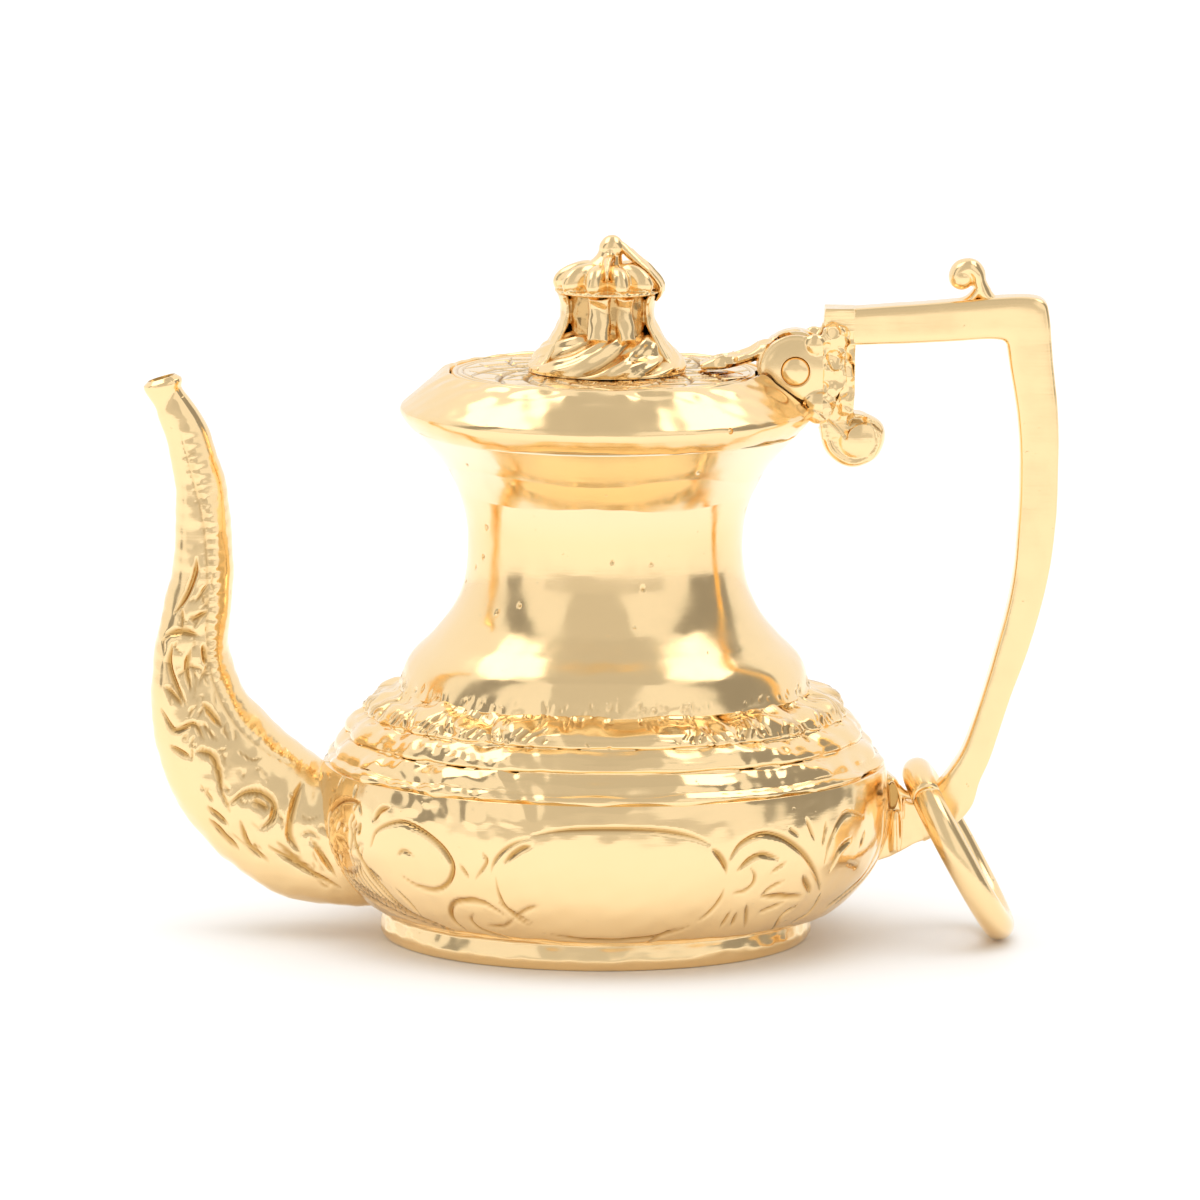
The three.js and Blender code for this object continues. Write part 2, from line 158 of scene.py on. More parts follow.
# name, angle to the side and up, width and height, brightness
for card in (("front_opening", -8, 38, 0.24, 0.42, 0.68), ("front_band", 0, 2, 0.70, 0.10, 0.74),
             ("overhead_shade", 0, 88, 0.30, 0.26, 0.64), ("left_gap", -80, 26, 0.10, 0.30, 0.36),
             ("right_gap", 95, 26, 0.26, 0.30, 0.36), ("left_soft_box", -112, 58, 0.18, 0.13, 2.2),
             ("right_soft_box", 110, 58, 0.18, 0.13, 2.2)):
    hang_card(*card)

# ---------------------------------------------------------------- foot ring
# A low flared ring, spun from sheet gold and soldered under the bowl. It is the pot's stand, and is polished
# smooth.
GOLD = (1.0, 0.74, 0.40)
GOLD_DRIFT = 0.96  # how far the gold's tone drifts from place to place
# painted shade: the colour that the hollows of the surface are painted toward
HOLLOW_SHADE_GOLD = (0.93, 0.62, 0.28)
# painted shade: the dark colour that cuts, bores and eyes are painted toward
DEEP_SHADE_GOLD = (0.56, 0.32, 0.10)
# painted highlight: the paler colour painted on the upper neck
PAINTED_HIGHLIGHT_GOLD = (1.0, 0.86, 0.60)
DARKEST_DEPTH = 0.07  # a cut this deep has the full painted shade


def gold_material(name, roughness, grain, painted_highlight_between=None):
    """Yellow gold with a faint drift of colour, polishing marks, casting pits, and painted shade in its
    hollows, cuts and bores. It can be painted paler between two heights in millimetres, a painted highlight
    in place of the orange that the neck mirrors."""
    material = bpy.data.materials.new(name)
    material.use_nodes = True
    nodes, links = material.node_tree.nodes, material.node_tree.links
    shader = nodes["Principled BSDF"]
    shader.inputs["Metallic"].default_value = 1.0
    place = nodes.new("ShaderNodeTexCoord")

    def noise(scale, detail, stretch=(1, 1, 1)):
        mapping = nodes.new("ShaderNodeMapping")
        mapping.inputs["Scale"].default_value = stretch
        texture = nodes.new("ShaderNodeTexNoise")
        texture.inputs["Scale"].default_value = scale
        texture.inputs["Detail"].default_value = detail
        links.new(place.outputs["Object"], mapping.inputs["Vector"])
        links.new(mapping.outputs["Vector"], texture.inputs["Vector"])
        return texture.outputs["Fac"]

    def remap(value, from_low, from_high, to_low, to_high):
        ramp = nodes.new("ShaderNodeMapRange")
        for socket, number in zip(("From Min", "From Max", "To Min", "To Max"),
                                  (from_low, from_high, to_low, to_high)):
            ramp.inputs[socket].default_value = number
        links.new(value, ramp.inputs["Value"])
        return ramp.outputs["Result"]

    def blend(kind, factor, first, second):
        mix = nodes.new("ShaderNodeMix")
        mix.data_type = "RGBA"
        mix.blend_type = kind
        for name, value in (("Factor", factor), ("A", first), ("B", second)):
            socket = mix.inputs[name]
            if isinstance(value, bpy.types.NodeSocket):
                links.new(value, socket)
            elif isinstance(value, tuple):
                socket.default_value = (*value, 1)
            else:
                socket.default_value = value
        return mix.outputs["Result"]

    def bump(height, distance, under=None):
        node = nodes.new("ShaderNodeBump")
        node.inputs["Strength"].default_value = 1.0
        node.inputs["Distance"].default_value = distance * MM
        links.new(height, node.inputs["Height"])
        if under:
            links.new(under, node.inputs["Normal"])
        return node.outputs["Normal"]

    shape = nodes.new("ShaderNodeNewGeometry")
    # painted shade: hollows found by Pointiness are painted darker and warmer, in place of the double
    # reflection in them
    painted_hollow_shade = remap(shape.outputs["Pointiness"], 0.40, 0.49, 0.75, 0.0)
    drift = remap(noise(260, 2), 0.35, 0.65, 0.0, 0.35)
    colour = blend("MIX", drift, GOLD, tuple(GOLD_DRIFT * part for part in GOLD))
    # painted highlight: the gold is painted paler between two heights
    if painted_highlight_between:
        axes = nodes.new("ShaderNodeSeparateXYZ")
        links.new(place.outputs["Object"], axes.inputs["Vector"])
        painted_pale_share = remap(axes.outputs["Z"], painted_highlight_between[0] * MM, painted_highlight_between[1] * MM, 0.0, 1.0)
        colour = blend("MIX", painted_pale_share, colour, PAINTED_HIGHLIGHT_GOLD)
    # painted shade: this attribute paints cuts, bores and eyes darker
    deep_shade_attribute = nodes.new("ShaderNodeAttribute")
    deep_shade_attribute.attribute_name = "painted_shade"
    colour = blend("MIX", painted_hollow_shade, colour, HOLLOW_SHADE_GOLD)
    links.new(blend("MIX", deep_shade_attribute.outputs["Fac"], colour, DEEP_SHADE_GOLD), shader.inputs["Base Color"])
    links.new(remap(noise(900, 4), 0.3, 0.7, roughness * 0.6, roughness * 1.5), shader.inputs["Roughness"])
    ripple = bump(noise(700, 3), 0.010 * grain)
    marks = bump(noise(1500, 5, (0.25, 1, 4)), 0.004 * grain, ripple)
    pits = bump(remap(noise(4200, 2), 0.20, 0.26, 0.0, 1.0), 0.012, marks)
    links.new(pits, shader.inputs["Normal"])
    return material


polished_gold = gold_material("polished_gold", roughness=0.16, grain=0.5)
engraved_gold = gold_material("engraved_gold", roughness=0.14, grain=1.0)
rough_gold = gold_material("rough_cast_gold", roughness=0.15, grain=2.2)


def face_outward(mesh):
    skin = bmesh.new()
    skin.from_mesh(mesh)
    bmesh.ops.recalc_face_normals(skin, faces=skin.faces)
    skin.to_mesh(mesh)
    skin.free()


def add_piece(name, points, faces, material, body, *replaced, smooth_angle=None, painted_shade=None):
    """A mesh from points in millimetres. It rides on a body and stands for the CAD nodes named. The painted
    shade is how deep in a cut or hollow each point lies, and the gold is painted that much darker."""
    mesh = bpy.data.meshes.new(name)
    mesh.from_pydata((np.asarray(points) * MM).tolist(), [], [list(map(int, face)) for face in faces])
    face_outward(mesh)
    mesh.materials.append(material)
    mesh.shade_smooth()
    # painted shade: how dark each point is painted, from cut depth and hollows
    if painted_shade is not None:
        depth = mesh.attributes.new("painted_shade", "FLOAT", "POINT")
        tone = np.clip(np.ravel(painted_shade) / DARKEST_DEPTH, 0, 1)
        depth.data.foreach_set("value", tone.astype(np.float32))
    if smooth_angle:
        mesh.set_sharp_from_angle(angle=math.radians(smooth_angle))
    piece = bpy.data.objects.new(name, mesh)
    bpy.context.scene.collection.objects.link(piece)
    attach(piece, body)
    if replaced:
        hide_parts(*replaced)
    return piece


def spline(points, count):
    """A smooth line of count points through the points given, closer together where they are."""
    points = np.asarray(points, float)
    padded = np.vstack([2 * points[0] - points[1], points, 2 * points[-1] - points[-2]])
    place = np.linspace(0, len(points) - 1, count)
    step = np.minimum(place.astype(int), len(points) - 2)
    t = (place - step)[:, None]
    a, b, c, d = (padded[step + shift] for shift in range(4))
    return 0.5 * (2 * b + (c - a) * t + (2 * a - 5 * b + 4 * c - d) * t ** 2
                  + (3 * b - a - 3 * c + d) * t ** 3)


WAVE_COUNT = 7


def waves(points, length, seed):
    """Slow unevenness between -1 and 1, about as long as the length given, as handwork leaves it."""
    random = np.random.default_rng(seed)
    total = np.zeros(points.shape[:-1])
    for _ in range(WAVE_COUNT):
        direction = random.normal(size=3)
        direction *= 2 * np.pi / (length * random.uniform(0.7, 1.5) * np.linalg.norm(direction))
        total += np.sin(points @ direction + random.uniform(0, 2 * np.pi))
    return total / WAVE_COUNT


def grid_faces(rows, columns):
    """The four-sided faces of a grid that closes on itself both ways."""
    row, column = np.meshgrid(np.arange(rows), np.arange(columns), indexing="ij")
    next_row, next_column = (row + 1) % rows, (column + 1) % columns
    corners = (row * columns + column, row * columns + next_column,
               next_row * columns + next_column, next_row * columns + column)
    return np.stack([corner.ravel() for corner in corners], axis=1)


def turn(line, wall, angles, relief=None, centre=0.0, closed=False):
    """A turned shell: its outer line of radius and height, shaped by the relief, and a plain inner wall.
    A closed line has no inner wall. Angle 0 is the front, 90 is the handle's side. The relief gives each
    point's height, and how much of it is a cut or hollow, which the gold shows as painted shade."""
    line = np.asarray(line, float)
    along = np.gradient(line, axis=0)
    along /= np.linalg.norm(along, axis=1)[:, None]
    outward = np.stack([along[:, 1], -along[:, 0]], axis=1)
    inner = (line - outward * wall)[:: max(1, len(line) // 5)]
    inner[:, 1] = np.clip(inner[:, 1], line[:, 1].min(), line[:, 1].max())
    inner = np.vstack([line[0] - (wall, 0), inner[1:-1], line[-1] - (wall, 0)])[::-1]
    turnings = np.radians(angles)

    def ring(profile, push=0.0):
        radius = profile[:, :1] + push * outward[:, :1] if np.ndim(push) else profile[:, :1] + 0 * turnings
        height = profile[:, 1:] + push * outward[:, 1:] if np.ndim(push) else profile[:, 1:] + 0 * turnings
        return np.stack([centre + radius * np.sin(turnings), -radius * np.cos(turnings), height], axis=-1)

    outer = ring(line)
    painted_shade = np.zeros(outer.shape[:2])
    if relief is not None:
        push, painted_shade = relief(outer)
        outer = ring(line, push)
    points = outer if closed else np.concatenate([outer, ring(inner)])
    painted_shade = np.pad(painted_shade, ((0, len(points) - len(outer)), (0, 0)))
    return points.reshape(-1, 3), grid_faces(len(points), len(angles)), painted_shade


def even_angles(count):
    return np.arange(count) * 360 / count


foot_low, foot_high = (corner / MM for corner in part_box("foot_ring"))
foot_radius = foot_high.y
foot_height = foot_high.z - foot_low.z
foot_line = np.vstack([
    spline([(foot_radius - 0.5, 0.0), (foot_radius - 0.18, 0.0), (foot_radius - 0.1, 0.04)], 8),
    spline([(foot_radius - 0.06, 0.1), (foot_radius, 0.3), (foot_radius - 0.05, 0.55),
            (foot_radius - 0.1, foot_height), (foot_radius - 0.02, foot_height + 0.1)], 26)])


def foot_dents(points):
    height = np.clip(points[..., 2] / foot_height, 0, 1)
    dents = 0.07 * waves(points, 2.6, 1) + 0.03 * waves(points, 0.7, 2)
    nick = 0.05 * np.exp(-((points[..., 0] - 3.6) ** 2 / 0.5 + (points[..., 2] - 0.28) ** 2 / 0.02))
    return (dents - nick) * np.minimum(1, 4 * height), 0 * dents


foot_middle = (foot_low.x + foot_high.x) / 2
points, faces, painted_shade = turn(foot_line, 0.8, even_angles(420), foot_dents, centre=foot_middle)
add_piece("foot", points, faces, polished_gold, "pot", "foot_ring")

# ---------------------------------------------------------------- base plate
# A flat disc of sheet gold, soldered inside the foot, closes the pot from below. It is left plain, with the
# marks of the file.
base_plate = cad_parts["base_plate"]
base_plate.data.materials.clear()
base_plate.data.materials.append(rough_gold)

# ---------------------------------------------------------------- bowl
# The squat belly is raised from sheet gold and cut by hand with a graver: a plain oval cartouche in the
# middle of each side, scrolls to its left and right, and leaves that fan out from the spout and the handle.
BOWL_MIDDLE_RADIUS = 8.3  # cuts are laid out on an unrolled surface of this radius
FINE, BOLD = (0.16, 0.075), (0.22, 0.115)  # how wide and how deep a cut is

bowl_low, bowl_high = (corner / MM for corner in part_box("bowl"))
bowl_radius = bowl_high.y
bowl_line = spline([
    (6.45, 0.0), (7.18, 0.33), (8.03, 1.25), (8.48, 2.21), (bowl_radius, 3.11), (8.56, 3.81), (8.47, 4.3),
    (8.4, bowl_high.z - bowl_low.z)], 92) + (0, bowl_low.z)


def cut(across, up, strokes):
    """How deep the graver went at each point of an unrolled surface. A stroke has points and a tool."""
    depth = np.zeros(across.shape)
    for points, (width, deep) in strokes:
        line = spline(points, 6 * len(points))
        share = np.linspace(0, 1, len(line))
        press = np.clip(1.15 * np.sin(np.pi * (0.06 + 0.88 * share)) ** 0.7, 0.25, 1)
        for start, end, low_press, high_press in zip(line, line[1:], press, press[1:]):
            reach = width / 2
            low, high = np.minimum(start, end) - reach, np.maximum(start, end) + reach
            near = np.nonzero((across > low[0]) & (across < high[0]) & (up > low[1]) & (up < high[1]))
            if not len(near[0]):
                continue
            along = end - start
            right, above = across[near] - start[0], up[near] - start[1]
            place = np.clip((right * along[0] + above * along[1]) / (along @ along + 1e-9), 0, 1)
            away = np.hypot(right - place * along[0], above - place * along[1])
            pressed = low_press + (high_press - low_press) * place
            cut_here = deep * pressed * np.clip(1 - away / (reach * pressed), 0, 1)
            depth[near] = np.maximum(depth[near], cut_here)
    return depth


def oval(centre, half_width, half_height, start, end, power=2.6):
    """Part of a rounded oval, as angle and height. Its places run from 0 at the right, anticlockwise."""
    place = np.radians(np.linspace(start, end, 9))
    shape = lambda value: np.sign(value) * np.abs(value) ** (2 / power)
    return np.stack([centre[0] + half_width * shape(np.cos(place)),
                     centre[1] + half_height * shape(np.sin(place))], axis=1)


# Each stroke is laid out as angle in degrees and height in millimetres.
bowl_strokes = [
    (oval((1.5, 2.85), 24.5, 1.74, 128, 172), FINE), (oval((1.5, 2.88), 24, 1.76, 40, 124), (0.2, 0.09)),
    (oval((1.5, 2.85), 23.6, 1.72, 8, 36), BOLD), (oval((1.5, 2.85), 23.4, 1.7, -38, -2), FINE),
    (oval((1.5, 2.85), 23.4, 1.74, -120, -44), FINE), (oval((1.5, 2.85), 23.4, 1.7, 176, 226), FINE),
    ([(-20, 3.55), (-17, 3.95), (-14.5, 4.1)], BOLD), ([(10.5, 0.95), (13, 1.2), (16.5, 1.45)], FINE),
    # the large scroll on the left, and what is cut round it
    ([(-53.6, 3.5), (-51, 4.05), (-45, 4.4), (-39.9, 4.28), (-35.2, 3.95), (-32.6, 3.6), (-31.6, 3.2),
      (-33.4, 2.72), (-37, 2.46), (-42, 2.5), (-45.2, 2.72)], BOLD),
    ([(-45.8, 3.38), (-43.8, 3.55), (-41, 3.44)], FINE),
    ([(-29.8, 3.36), (-28, 2.97)], FINE), ([(-24.6, 3.8), (-23.8, 3.5), (-26.6, 2.95)], FINE),
    # the small scroll below it, with its crossed tail
    ([(-22, 1.9), (-25.4, 2.2), (-29.4, 2.24), (-33, 2.1), (-35.4, 1.75), (-35.8, 1.4), (-34.2, 1.18)],
     BOLD),
    ([(-29, 1.84), (-30.8, 1.55), (-29.8, 1.28), (-27, 1.1), (-23, 0.98)], FINE),
    ([(-19.8, 1.74), (-23, 1.46), (-27.4, 1.4)], FINE),
    ([(-22.4, 2.3), (-19.8, 1.98), (-16, 1.66)], FINE),
    ([(-13.8, 2.25), (-16.8, 2.05), (-20.4, 1.72)], FINE),
    # the long leaf that rises from the foot towards the spout
    ([(-38.6, 1.08), (-49.5, 1.5), (-54, 2.25), (-58, 2.95), (-59.7, 3.7), (-57.8, 4.0)], BOLD),
    ([(-40, 1.05), (-57, 1.35), (-71, 1.8), (-75.5, 2.6), (-74.5, 3.5), (-72.4, 4.1), (-65.4, 4.6),
      (-58.6, 4.68), (-56.6, 4.4)], BOLD),
    ([(-52.4, 4.28), (-50.8, 4.62), (-48, 4.78)], BOLD), ([(-58, 3.8), (-56.8, 4.1)], BOLD),
    ([(-68.6, 3.6), (-66, 3.9), (-63.6, 3.92)], FINE), ([(-69.6, 3.4), (-65.5, 3.4), (-62.2, 3.2)], FINE),
    ([(-56.6, 2.78), (-52.6, 2.42)], FINE), ([(-49, 2.3), (-46.6, 1.85), (-45.8, 1.5)], FINE),
    ([(-62.4, 3.1), (-60.6, 3.6), (-61.2, 4.1)], FINE), ([(-80, 4.5), (-79, 3.4), (-80.6, 2.4)], BOLD),
    # the scroll on the right, and the short cuts inside it
    ([(25.3, 3.6), (27.7, 4.06), (32.5, 4.3), (37.4, 4.14), (42.9, 3.62), (47.6, 2.92), (52, 2.25)], BOLD),
    ([(27.2, 3.25), (30, 3.58), (33, 3.68), (37, 3.5)], BOLD),
    ([(30.2, 3.32), (31.6, 3.05), (31.4, 2.75), (29.4, 2.56), (26.6, 2.6)], FINE),
    ([(35.4, 3.08), (39, 3.36)], FINE), ([(39.4, 2.78), (36.4, 2.6), (34.2, 2.36)], FINE),
    ([(34.2, 2.36), (46.8, 2.14)], BOLD), ([(44.2, 2.84), (49, 2.2)], BOLD),
    ([(35.6, 1.76), (41.4, 2.04)], FINE), ([(27.6, 1.36), (28, 1.9)], FINE),
    ([(30.4, 1.38), (29.8, 1.84)], FINE), ([(34.4, 1.3), (31.4, 2.1)], FINE),
    ([(46, 0.95), (43.8, 1.5), (46.8, 1.84)], FINE), ([(51, 1.14), (55, 1.38), (53.2, 2.06)], FINE),
    # the sprig that rises beside the handle's lug
    ([(50.2, 3.15), (51, 3.7), (53.4, 4.24), (57.8, 4.5), (64, 4.22)], FINE),
    ([(52.8, 2.82), (54.6, 3.4), (59, 3.68)], BOLD), ([(49, 3.7), (50, 4.4)], FINE),
    ([(46.4, 3.9), (44.2, 4.58)], FINE), ([(42, 4.12), (39.4, 4.38)], FINE),
    ([(59, 2.94), (64.8, 2.66)], FINE),
    ([(63, 3.36), (64.6, 3.78)], FINE), ([(62, 1.5), (72, 2.2), (76.5, 3.1), (77, 4.2)], BOLD),
    ([(66, 1.5), (76, 2.0), (82, 2.6), (83, 3.4)], BOLD),
]
for leaf in range(7):
    # a fan of fine veins inside the long leaf, each shorter than the one before
    root, lean = -42 - 3.2 * leaf, 2.6 * leaf
    vein = [(root, 1.15 + 0.06 * leaf), (root - 9, 1.5 + 0.1 * leaf), (root - 14 + lean / 3, 2.3),
            (root - 17 + lean, 3.1 - 0.12 * leaf)]
    bowl_strokes.append((vein, FINE))
random = np.random.default_rng(30)
for _ in range(60):
    # the ground beside the spout was worked over with short slanting nicks
    angle, height = random.uniform(-88, -58), random.uniform(2.0, 5.1)
    slant, rise = random.normal(2.0, 0.9), random.normal(0.16, 0.09)
    nick = [(angle, height), (angle + slant / 2, height + rise), (angle + slant, height + 1.3 * rise)]
    bowl_strokes.append((nick, (random.uniform(0.1, 0.19), random.uniform(0.03, 0.06))))


def folded(angle):
    """The angle from the nearer side's middle, so that the back of the pot repeats the front."""
    wrapped = (angle + 180) % 360 - 180
    return np.where(wrapped > 90, 180 - wrapped, np.where(wrapped < -90, -180 - wrapped, wrapped))


def laid_out(strokes):
    scale = np.array([math.radians(1) * BOWL_MIDDLE_RADIUS, 1])
    return [(np.asarray(points, float) * scale, tool) for points, tool in strokes]


def engraved_bowl(points):
    angle = folded(np.degrees(np.arctan2(points[..., 0], -points[..., 1])))
    across = np.radians(angle) * BOWL_MIDDLE_RADIUS
    depth = cut(across, points[..., 2], laid_out(bowl_strokes))
    # under the mouldings on the left the sheet is crumpled by the chasing above it
    crumpled = np.exp(-((angle + 34) / 20) ** 2) * np.clip((points[..., 2] - 4.2) / 0.5, 0, 1)
    dents = 0.07 * waves(points, 4.0, 3) + 0.02 * waves(points, 0.9, 4)
    dents = dents + 0.045 * crumpled * waves(points, 0.55, 30)
    # the depth of each cut is also painted as shade
    return dents - depth, depth


def crowded_angles(count, plain):
    """Angles round the pot, closer together on the front, and further apart where it is left plain."""
    fine = np.linspace(-180, 180, 4001)
    weight = np.where(np.abs(fine) < 88, 1.45, 0.75) * np.where(np.abs(fine) < plain, 0.45, 1.0)
    total = np.concatenate([[0], np.cumsum((weight[1:] + weight[:-1]) / 2)])
    return np.interp(np.arange(count) / count * total[-1], total, fine)


points, faces, painted_shade = turn(bowl_line, 0.4, crowded_angles(980, plain=18), engraved_bowl)
add_piece("engraved_bowl", points, faces, engraved_gold, "pot", "bowl", painted_shade=painted_shade)

# ---------------------------------------------------------------- shoulder
# Three rounded mouldings, raised in one sheet, step up from the bowl that they are soldered to. The top one
# is chased with small overlapping leaves.
shoulder_low, shoulder_high = (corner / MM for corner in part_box("shoulder_band"))
shoulder_line = np.vstack([
    spline([(8.26, -0.14), (8.38, 0.0), (8.41, 0.1), (8.3, 0.22)], 11),
    spline([(8.2, 0.26), (8.1, 0.5), (7.86, 0.74)], 12), spline([(7.74, 0.8), (7.8, 0.9), (7.76, 1.03)], 8),
    spline([(7.7, 1.1), (7.55, 1.28), (7.32, 1.42)], 11),
    spline([(7.24, 1.46), (7.29, 1.54), (7.27, 1.62)], 7),
    spline([(7.22, 1.68), (7.1, 1.86), (6.8, 2.02), (6.4, 2.14), (6.2, 2.25)], 28)]) + (0, shoulder_low.z)
shoulder_line *= (shoulder_high.y / shoulder_line[:, 0].max(), 1)

SHOULDER_LEAVES = 52

leaf_strokes = []
random = np.random.default_rng(31)
for leaf in range(SHOULDER_LEAVES):
    # a crescent and veins for each leaf, leaning one way and then the other
    start = 360 / SHOULDER_LEAVES * leaf - 180 + random.uniform(-0.8, 0.8)
    lean = 3.6 if leaf % 2 else -2.8
    bottom, top = random.uniform(6.78, 6.95), random.uniform(7.28, 7.5)
    if abs((start + 90) % 180 - 90) < 17:
        continue  # worn away in the middle of each side
    leaf_strokes += [
        ([(start, bottom), (start + 0.4 * lean, 7.1), (start + lean, top)], (0.3, 0.05)),
        ([(start + 2.2, 6.9), (start + 2.6 + 0.3 * lean, 7.1), (start + 3 + lean, 7.3)], (0.2, 0.04)),
        ([(start - 1.6, 7.0), (start + 0.6, 7.25)], (0.18, 0.035))]
for _ in range(240):
    # nicks along the foot of the neck, and under the leaves
    angle = random.uniform(-180, 180)
    height = random.choice([7.45, 7.52, 6.9]) + random.normal(0, 0.06)
    slant = random.normal(0, 1.1, 2)
    leaf_strokes.append(([(angle, height), (angle + slant[0], height + 0.1 * slant[1])],
                         (random.uniform(0.1, 0.2), random.uniform(0.02, 0.05))))


def angle_round(points):
    return (np.degrees(np.arctan2(points[..., 0], -points[..., 1])) + 180) % 360 - 180


def chased_shoulder(points):
    angle = angle_round(points)
    across = np.radians(angle) * BOWL_MIDDLE_RADIUS
    uneven = 0.15 * waves(points, 2.2, 5) + 0.05 * waves(points, 0.9, 6)
    worn = np.clip((np.abs((angle + 90) % 180 - 90) - 12) / 18, 0.15, 1)
    hammered = 0.12 * worn * waves(points, 0.8, 7) * np.clip((points[..., 2] - 6.55) / 0.3, 0, 1)
    crumpled = np.exp(-((folded(angle) + 34) / 24) ** 2) + 0.6 * np.exp(-((folded(angle) - 40) / 16) ** 2)
    hammered += 0.05 * waves(points, 0.5, 33) * crumpled
    depth = cut(across, points[..., 2], laid_out(leaf_strokes))
    # the depth of each cut is also painted as shade
    return uneven + hammered - depth, depth


points, faces, painted_shade = turn(shoulder_line, 0.42, crowded_angles(1000, plain=0), chased_shoulder)
add_piece("chased_shoulder", points, faces, engraved_gold, "pot", "shoulder_band", painted_shade=painted_shade)

# ---------------------------------------------------------------- neck
# A waisted sleeve, spun from sheet gold and soldered into the shoulder. It is highly polished, so its slow
# unevenness shows in what it mirrors.
neck_low, neck_high = (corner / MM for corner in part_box("neck"))
neck_line = spline([
    (6.2, -0.1), (5.88, 0.81), (5.17, 1.58), (4.6, 2.31), (4.23, 3.16), (4.11, 4.11), (4.16, 5.01),
    (4.42, 5.91), (4.92, 6.81), (5.76, neck_high.z - neck_low.z + 0.12)], 150) + (0, neck_low.z)


fringe = []
random = np.random.default_rng(35)
for _ in range(170):
    # the chasing tool strayed up over the foot of the neck
    angle, height = random.uniform(-180, 180), neck_low.z + random.uniform(0.02, 0.2)
    fringe.append(([(angle, height), (angle + random.normal(0, 0.9), height + random.uniform(0.06, 0.24))],
                   (random.uniform(0.1, 0.18), random.uniform(0.02, 0.05))))


neck_pits = []
for _ in range(34):
    # more bubbles, no wider than a hair
    angle = math.radians(random.uniform(-180, 180))
    height = random.uniform(neck_low.z + 2.5, neck_high.z - 0.6)
    radius = np.interp(height, neck_line[:, 1], neck_line[:, 0])
    centre = np.array((radius * math.sin(angle), -radius * math.cos(angle), height))
    neck_pits.append((centre, random.uniform(0.035, 0.06)))


def polished_neck(points):
    pitted = np.zeros(points.shape[:2])
    for centre, reach in neck_pits:
        away = np.linalg.norm(points - centre, axis=-1)
        pitted = np.maximum(pitted, 0.06 * np.exp(-(away / reach) ** 2))
    at_foot = np.clip(1 - (points[..., 2] - neck_low.z) / 0.5, 0, 1)
    depth = cut(np.radians(angle_round(points)) * BOWL_MIDDLE_RADIUS, points[..., 2], laid_out(fringe))
    uneven_sleeve = 0.05 * waves(points, 5.0, 8) + (0.006 + 0.08 * at_foot) * waves(points, 0.9, 9)
    # painted shade in the fringe cuts and in the pits
    return uneven_sleeve - depth - pitted, 0.5 * depth + pitted


points, faces, painted_shade = turn(neck_line, 0.4, even_angles(700), polished_neck)
# painted highlight: the upper neck is painted paler between these heights
painted_highlight_neck_gold = gold_material("painted_highlight_neck_gold", roughness=0.16, grain=0.5, painted_highlight_between=(12.4, 15.2))
add_piece("polished_neck", points, faces, painted_highlight_neck_gold, "pot", "neck", painted_shade=painted_shade)

# ---------------------------------------------------------------- rim
# A heavy bevelled collar caps the neck. It is cast and turned, with a ledge inside for the lid, and cut away
# where the hinge turns.
PIN_RADIUS = 0.3
PIN_HEAD = 0.44
HINGE_HALF_WIDTH = 1.24  # half the width of the cut that the ears and the knuckle turn in


def rod(radius, low, high, x, z, sides=64):
    """A round bar along Y."""
    turning = np.arange(sides) * 2 * np.pi / sides
    ring = np.stack([x + radius * np.cos(turning), 0 * turning, z + radius * np.sin(turning)], axis=1)
    return loft([ring + (0, low, 0), ring + (0, high, 0)])


def loft(rings):
    """A closed skin over rings of points, with a flat face at each end."""
    count = len(rings[0])
    faces = [face.tolist() for face in grid_faces(len(rings), count)[:-count]]
    last = (len(rings) - 1) * count
    faces += [list(range(count))[::-1], list(range(last, last + count))]
    return np.concatenate(rings), faces


def plate(outline, low, high):
    """A flat outline of x and z, given its thickness along Y."""
    outline = np.asarray(outline, float)
    flat = np.stack([outline[:, 0], 0 * outline[:, 0], outline[:, 1]], axis=1)
    return loft([flat + (0, low, 0), flat + (0, high, 0)])


def tube(path, sizes, count=40, sides=24):
    """A bar along a smooth path. Each size is half the bar's thickness across Y, and half along Y."""
    line = spline(path, count)
    size = spline(sizes, count)
    along = np.gradient(line, axis=0)
    along /= np.linalg.norm(along, axis=1)[:, None]
    across = np.cross(along, (0, 1, 0))
    across /= np.linalg.norm(across, axis=1)[:, None]
    beside = np.cross(across, along)
    turning = np.arange(sides) * 2 * np.pi / sides
    rings = [centre + np.outer(np.cos(turning) * half[0], a) + np.outer(np.sin(turning) * half[1], b)
             for centre, half, a, b in zip(line, size, across, beside)]
    return loft(rings)


def ball(centre, radius, squash=(1, 1, 1)):
    rings = []
    for share in np.linspace(0.02, 0.98, 30):
        turning = np.arange(48) * 2 * np.pi / 48
        flat = radius * math.sin(share * math.pi)
        rings.append(np.stack([flat * np.cos(turning), flat * np.sin(turning),
                               0 * turning - radius * math.cos(share * math.pi)], axis=1) * squash + centre)
    return loft(rings)


